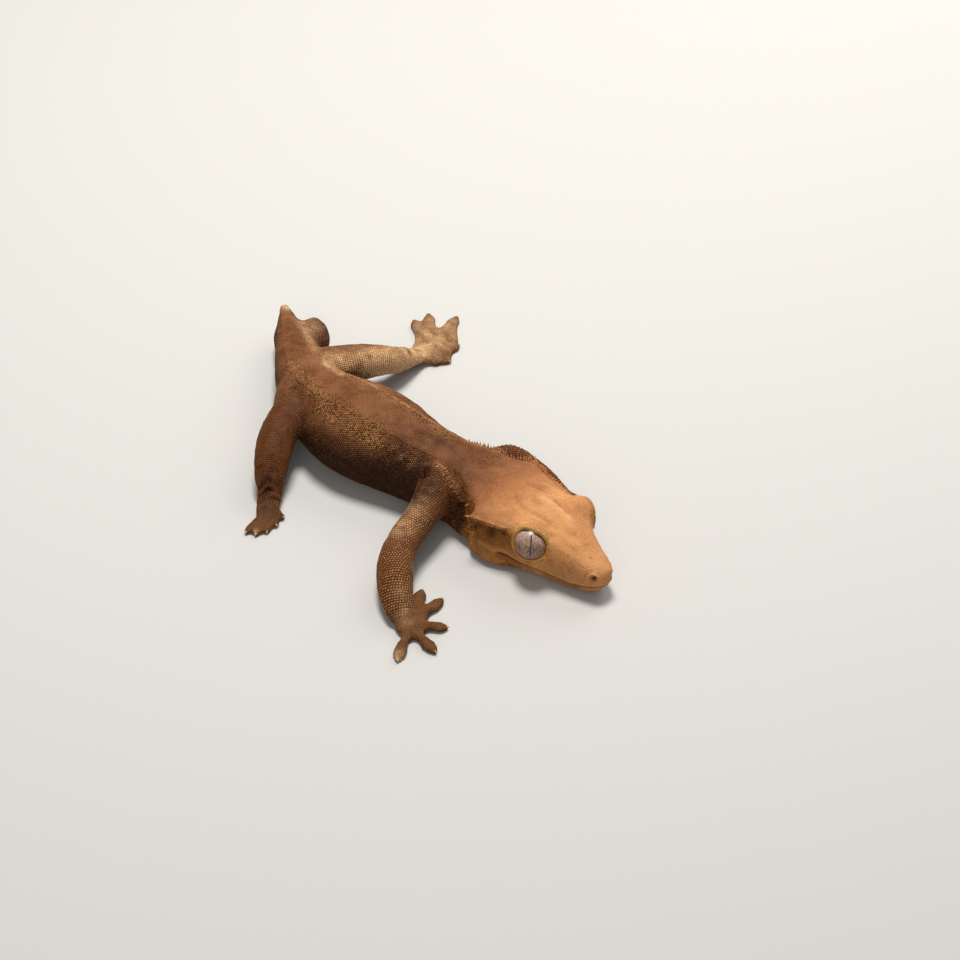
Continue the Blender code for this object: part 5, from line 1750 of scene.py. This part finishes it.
def snout_rows(spacing):
    """Places over the blunt end of the snout, in rings about its tip."""
    s = BODY["muzzle"]
    back, height, radius, angle = SNOUT_BALL
    return ball_rows((s.x, s.y + back, height), (0, -1, 0), radius, spacing, angle)


def along_line(line, spacing, start, end):
    """Even steps along a stretch of a line, and the share of the stretch that each has run."""
    line = np.asarray(line, float)
    run = run_of(line)
    at = np.arange(start * run[-1], end * run[-1], spacing)
    return places_on(line, run, at), (at - at[0]) / (at[-1] - at[0])


class MakeSpines(bpy.types.Operator):
    """Spines along both crests, down the back and over the eyes, and the claws"""

    bl_idname = "gecko.make_spines"
    bl_label = "Spines and claws"

    def execute(self, context):
        settings = context.scene.gecko_scales
        ground = Ground()
        spike = scale_object("spike", SPIKE_RINGS, 6)
        draw = np.random.default_rng(settings.seed + 1)
        parts = [spine_row(row, ground, draw) for row in SPINES]
        parts += [lash_row(eye, ground) for eye in EYES.values()]
        table = {key: np.concatenate([part[key] for part in parts]) for key in parts[0]}
        material = bpy.data.materials["dry_horny_scales"]
        laid("spines", ground, table, spike, material)
        laid("claws", ground, claw_table(ground), spike, claw_material())
        bpy.data.objects.remove(spike)
        return {"FINISHED"}


def spine_row(row, ground, draw):
    """Spines of uneven length along a row, thicker where they are longer."""
    line = crest_line(row.side) if row.row == "crest" else back_line(row.side)
    places, share = along_line(line, row.spacing, row.start, row.end)
    places += draw.normal(0, SPINE_STRAY, places.shape)
    on, _, _ = ground.nearest(places)
    out, back, up = row.lean
    ways = np.array((row.side * out, back, up)) + draw.normal(0, SPINE_TURN, places.shape)
    long = np.interp(share, [0, 0.5, 1], row.long) * draw.uniform(*SPINE_LENGTHS, len(on))
    wide = row.wide * (0.6 + 0.4 * long / max(row.long))
    return {"place": on, "way": ways, "wide": wide, "high": long, "tone": draw.uniform(0.5, 1, len(on))}


def lash_row(eye, ground):
    """Small pointed scales standing on the top and back of an eye's rim."""
    look, back, up = eye_axes(eye)
    turn = np.radians(np.linspace(*LASH_ANGLES, LASH_COUNT))[:, None]
    out = back * np.cos(turn) + up * np.sin(turn)
    edge = np.radians(eye.edge[1] + RIM_WIDTH)
    away = look * np.cos(edge) + out * np.sin(edge)
    on, _, _ = ground.nearest(np.array(eye.centre) + ORBIT_RADIUS * away)
    wide, high = np.full(LASH_COUNT, LASH_WIDE), np.full(LASH_COUNT, eye.lash)
    ways = out + LASH_LEAN * look
    return {"place": on, "way": ways, "wide": wide, "high": high, "tone": np.ones(LASH_COUNT)}


def claw_table(ground):
    """A small claw at the end of each toe, bent down to the ground."""
    tips, ways = [], []
    for paw in PAWS.values():
        for tip in paw.tips:
            way = unit(np.array((tip[0] - paw.x, tip[1] - paw.y, 0.0)))
            tips.append(np.array((*tip, CLAW_HEIGHT)) - way * CLAW_BACK)
            ways.append(way * CLAW_AHEAD + CLAW_FALL)
    on, _, _ = ground.nearest(tips)
    count = len(tips)
    wide, high = np.full(count, CLAW_WIDE), np.full(count, CLAW_LONG)
    return {"place": on, "way": np.array(ways), "wide": wide, "high": high, "tone": np.ones(count)}


def claw_material():
    """Horn grown in thin smooth layers: pale brown, with a soft gloss."""
    looks = {"Base Color": linear("B39A7E"), "Roughness": 0.35}
    material, _, _ = new_material("horn_claw", looks)
    return material


def toe_rows(middle, tip, spacing):
    """Even rows of places along a toe."""
    tip = np.array((*tip, TOE_ROW_END))
    side = unit(np.cross(tip - middle, (0, 0, 1)))
    turn = turns(24)

    def ring(at):
        """A ring round the toe, at a share of its length."""
        wide = spline(TOE, at * (len(TOE) - 1))[1]
        centre = middle + (tip - middle) * at
        return centre + side * wide * np.cos(turn) + np.array((0, 0, TOE_ROW_HIGH)) * np.sin(turn)

    return rows(ring, 0.0, 1.0, spacing)


def eye_material(eye):
    """A wet clear cornea over a netted iris.

    To the eye it has one soft highlight, under which fine dark lines break up the tan, and a narrow black
    slit with a wavy edge. The iris's top is paler, partly as painted sheen, and the ball is painted dark as
    shade where it goes under the lid. Its colours follow the flat place across the iris, in millimetres.
    """
    looks = {"Roughness": 0.35, "Coat Weight": 0.22, "Coat Roughness": 0.28, "Coat IOR": CORNEA_IOR}
    material, tree, shader = new_material("wet_netted_iris", looks)
    place = node(tree, "ShaderNodeAttribute", attribute_name="iris").outputs["Vector"]
    lid = node(tree, "ShaderNodeAttribute", attribute_name="lid").outputs["Fac"]
    parts = node(tree, "ShaderNodeSeparateXYZ", {0: place})
    x, y = parts.outputs[0], parts.outputs[1]
    flat = node(tree, "ShaderNodeVectorMath", {0: place, 1: IRIS_STRETCH}, operation="MULTIPLY").outputs[0]
    layers = []
    for scale, width, strength in IRIS_NET:
        net = {"Vector": flat, "Scale": scale, "Detail": 2.0, "Distortion": 1.6}
        field = node(tree, "ShaderNodeTexNoise", net).outputs["Fac"]
        middle = node(tree, "ShaderNodeMath", {0: field, 1: 0.5}, operation="SUBTRACT").outputs[0]
        off = node(tree, "ShaderNodeMath", {0: middle}, operation="ABSOLUTE").outputs[0]
        line = node(tree, "ShaderNodeMapRange", {0: off, 1: 0.0, 2: width, 3: strength, 4: 0.0}).outputs[0]
        layers.append((line, eye.vein))
    # The iris's top is painted paler, partly as sheen.
    light = node(tree, "ShaderNodeMapRange", {0: y, 1: -0.5, 2: 3.0, 3: 0.0, 4: 0.4}).outputs[0]
    waves = {"W": y, "Scale": 1.6, "Detail": 2.0}
    wave = node(tree, "ShaderNodeTexNoise", waves, noise_dimensions="1D").outputs["Fac"]
    shift = node(tree, "ShaderNodeMath", {0: wave, 1: 0.5}, operation="SUBTRACT").outputs[0]
    edge = {0: shift, 1: PUPIL_WAVE, 2: eye.slit / MM}
    wide = node(tree, "ShaderNodeMath", edge, operation="MULTIPLY_ADD").outputs[0]
    off = node(tree, "ShaderNodeMath", {0: x}, operation="ABSOLUTE").outputs[0]
    inside = node(tree, "ShaderNodeMath", {0: off, 1: wide}, operation="LESS_THAN").outputs[0]
    long = node(tree, "ShaderNodeMath", {0: y}, operation="ABSOLUTE").outputs[0]
    short = node(tree, "ShaderNodeMath", {0: long, 1: PUPIL_HALF_LENGTH}, operation="LESS_THAN").outputs[0]
    slit = node(tree, "ShaderNodeMath", {0: inside, 1: short}, operation="MULTIPLY").outputs[0]
    # The pupil's black also paints the shade where the ball goes under the lid.
    layers += [(light, eye.sheen), (slit, eye.pupil), (lid, eye.pupil)]
    tree.links.new(painted(tree, eye.iris, layers), shader.inputs["Base Color"])
    return material


def eyeball(name, eye):
    """A ball whose pole is the pupil, with flat places across the iris stored in millimetres."""
    look = Vector(eye.pupil).normalized()
    up = (Vector((0, 0, 1)) - look * look.z).normalized()
    turn = Matrix((up.cross(look), up, look)).transposed()
    mesh = bpy.data.meshes.new(name)
    bm = bmesh.new()
    around, along = EYE_SEGMENTS
    bmesh.ops.create_uvsphere(bm, u_segments=around, v_segments=along, radius=eye.radius)
    iris = bm.verts.layers.float_vector.new("iris")
    for v in bm.verts:
        v[iris] = v.co
    bmesh.ops.transform(bm, verts=bm.verts, matrix=Matrix.Translation(eye.centre) @ turn.to_4x4())
    bm.to_mesh(mesh)
    bm.free()
    # The ball is painted dark as shade where it goes under the lid.
    store(mesh, "lid", rise(eye_angles(eye, points_of(mesh))[1], *LID_SHADE))
    return linked(name, mesh)


class MakeEyes(bpy.types.Operator):
    """Both eyeballs, each with its netted iris and narrow pupil"""

    bl_idname = "gecko.make_eyes"
    bl_label = "Eyes"

    def execute(self, context):
        material = eye_material(context.scene.gecko_eye)
        for name, eye in EYES.items():
            finished(eyeball(f"eyeball_{name}", eye), material, [f"eye_{name}"])
        return {"FINISHED"}


def add_floor(settings):
    """A flat floor, painted matt and pale, which gives the eye no gloss."""
    looks = {"Base Color": settings.floor, "Roughness": 0.9}
    material, _, _ = new_material("matt_pale_floor", looks)
    mesh = bpy.data.meshes.new("floor")
    corners = [(x * settings.size, y * settings.size, 0) for x, y in ((-1, -1), (1, -1), (1, 1), (-1, 1))]
    mesh.from_pydata(corners, [], [(0, 1, 2, 3)])
    mesh.materials.append(material)
    floor = linked("floor", mesh)


def add_lights():
    """Three soft lights round the animal, in a softly lit white room."""
    for name, (place, size, power) in LIGHTS.items():
        light = bpy.data.lights.new(name, "AREA")
        light.shape = "DISK"
        light.size = size
        light.energy = power
        obj = linked(name, light)
        obj.location = place
        obj.rotation_euler = (Vector(LIGHT_TARGET) - Vector(place)).to_track_quat("-Z", "Y").to_euler()
    world = bpy.data.worlds.new("soft_room")
    world.use_nodes = True
    background = world.node_tree.nodes["Background"]
    background.inputs["Color"].default_value = (1, 1, 1, 1)
    background.inputs["Strength"].default_value = ROOM_LIGHT
    bpy.context.scene.world = world
    bpy.context.scene.view_settings.view_transform = "Standard"


def add_camera():
    """The camera at the photograph's angle."""
    camera = bpy.data.cameras.new("camera")
    camera.lens = CAMERA_LENS
    camera.sensor_width = CAMERA_SENSOR
    camera.clip_start = 0.01
    obj = linked("camera", camera)
    turn = Matrix((CAMERA_RIGHT, -CAMERA_DOWN, -CAMERA_RIGHT.cross(CAMERA_DOWN))).transposed()
    obj.matrix_world = Matrix.Translation(CAMERA_PLACE * MM) @ turn.to_4x4()
    bpy.context.scene.camera = obj


class MakeStage(bpy.types.Operator):
    """Pale floor, soft lights and the camera at the photograph's angle"""

    bl_idname = "gecko.make_stage"
    bl_label = "Stage"

    def execute(self, context):
        add_floor(context.scene.gecko_stage)
        add_lights()
        add_camera()
        return {"FINISHED"}


GROUPS = {
    "gecko_skin": SkinSettings,
    "gecko_scales": ScaleSettings,
    "gecko_eye": EyeSettings,
    "gecko_stage": StageSettings,
}
OPERATORS = (MakeStage, MakeSkin, MakeScales, MakeSpines, MakeEyes)


class GeckoPanel(bpy.types.Panel):
    """The gecko's pieces in the order they are made"""

    bl_idname = "VIEW3D_PT_gecko"
    bl_label = "Crested gecko"
    bl_space_type = "VIEW_3D"
    bl_region_type = "UI"
    bl_category = "Gecko"

    def draw(self, context):
        for operator in OPERATORS:
            self.layout.operator(operator.bl_idname)
        for name, group in GROUPS.items():
            box = self.layout.box()
            for setting in group.__annotations__:
                box.prop(getattr(context.scene, name), setting)


def register():
    """Adds the settings, the operators and the panel to the program."""
    for name, group in GROUPS.items():
        bpy.utils.register_class(group)
        setattr(bpy.types.Scene, name, bpy.props.PointerProperty(type=group))
    for operator in OPERATORS:
        bpy.utils.register_class(operator)
    bpy.utils.register_class(GeckoPanel)


def unregister():
    """Takes them away again."""
    bpy.utils.unregister_class(GeckoPanel)
    for operator in reversed(OPERATORS):
        bpy.utils.unregister_class(operator)
    for name, group in reversed(GROUPS.items()):
        delattr(bpy.types.Scene, name)
        bpy.utils.unregister_class(group)


def main():
    """Makes every piece in order."""
    register()
    for operator in OPERATORS:
        piece = operator.bl_idname.split(".")[1]
        getattr(bpy.ops.gecko, piece)()


if __name__ == "__main__":
    main()
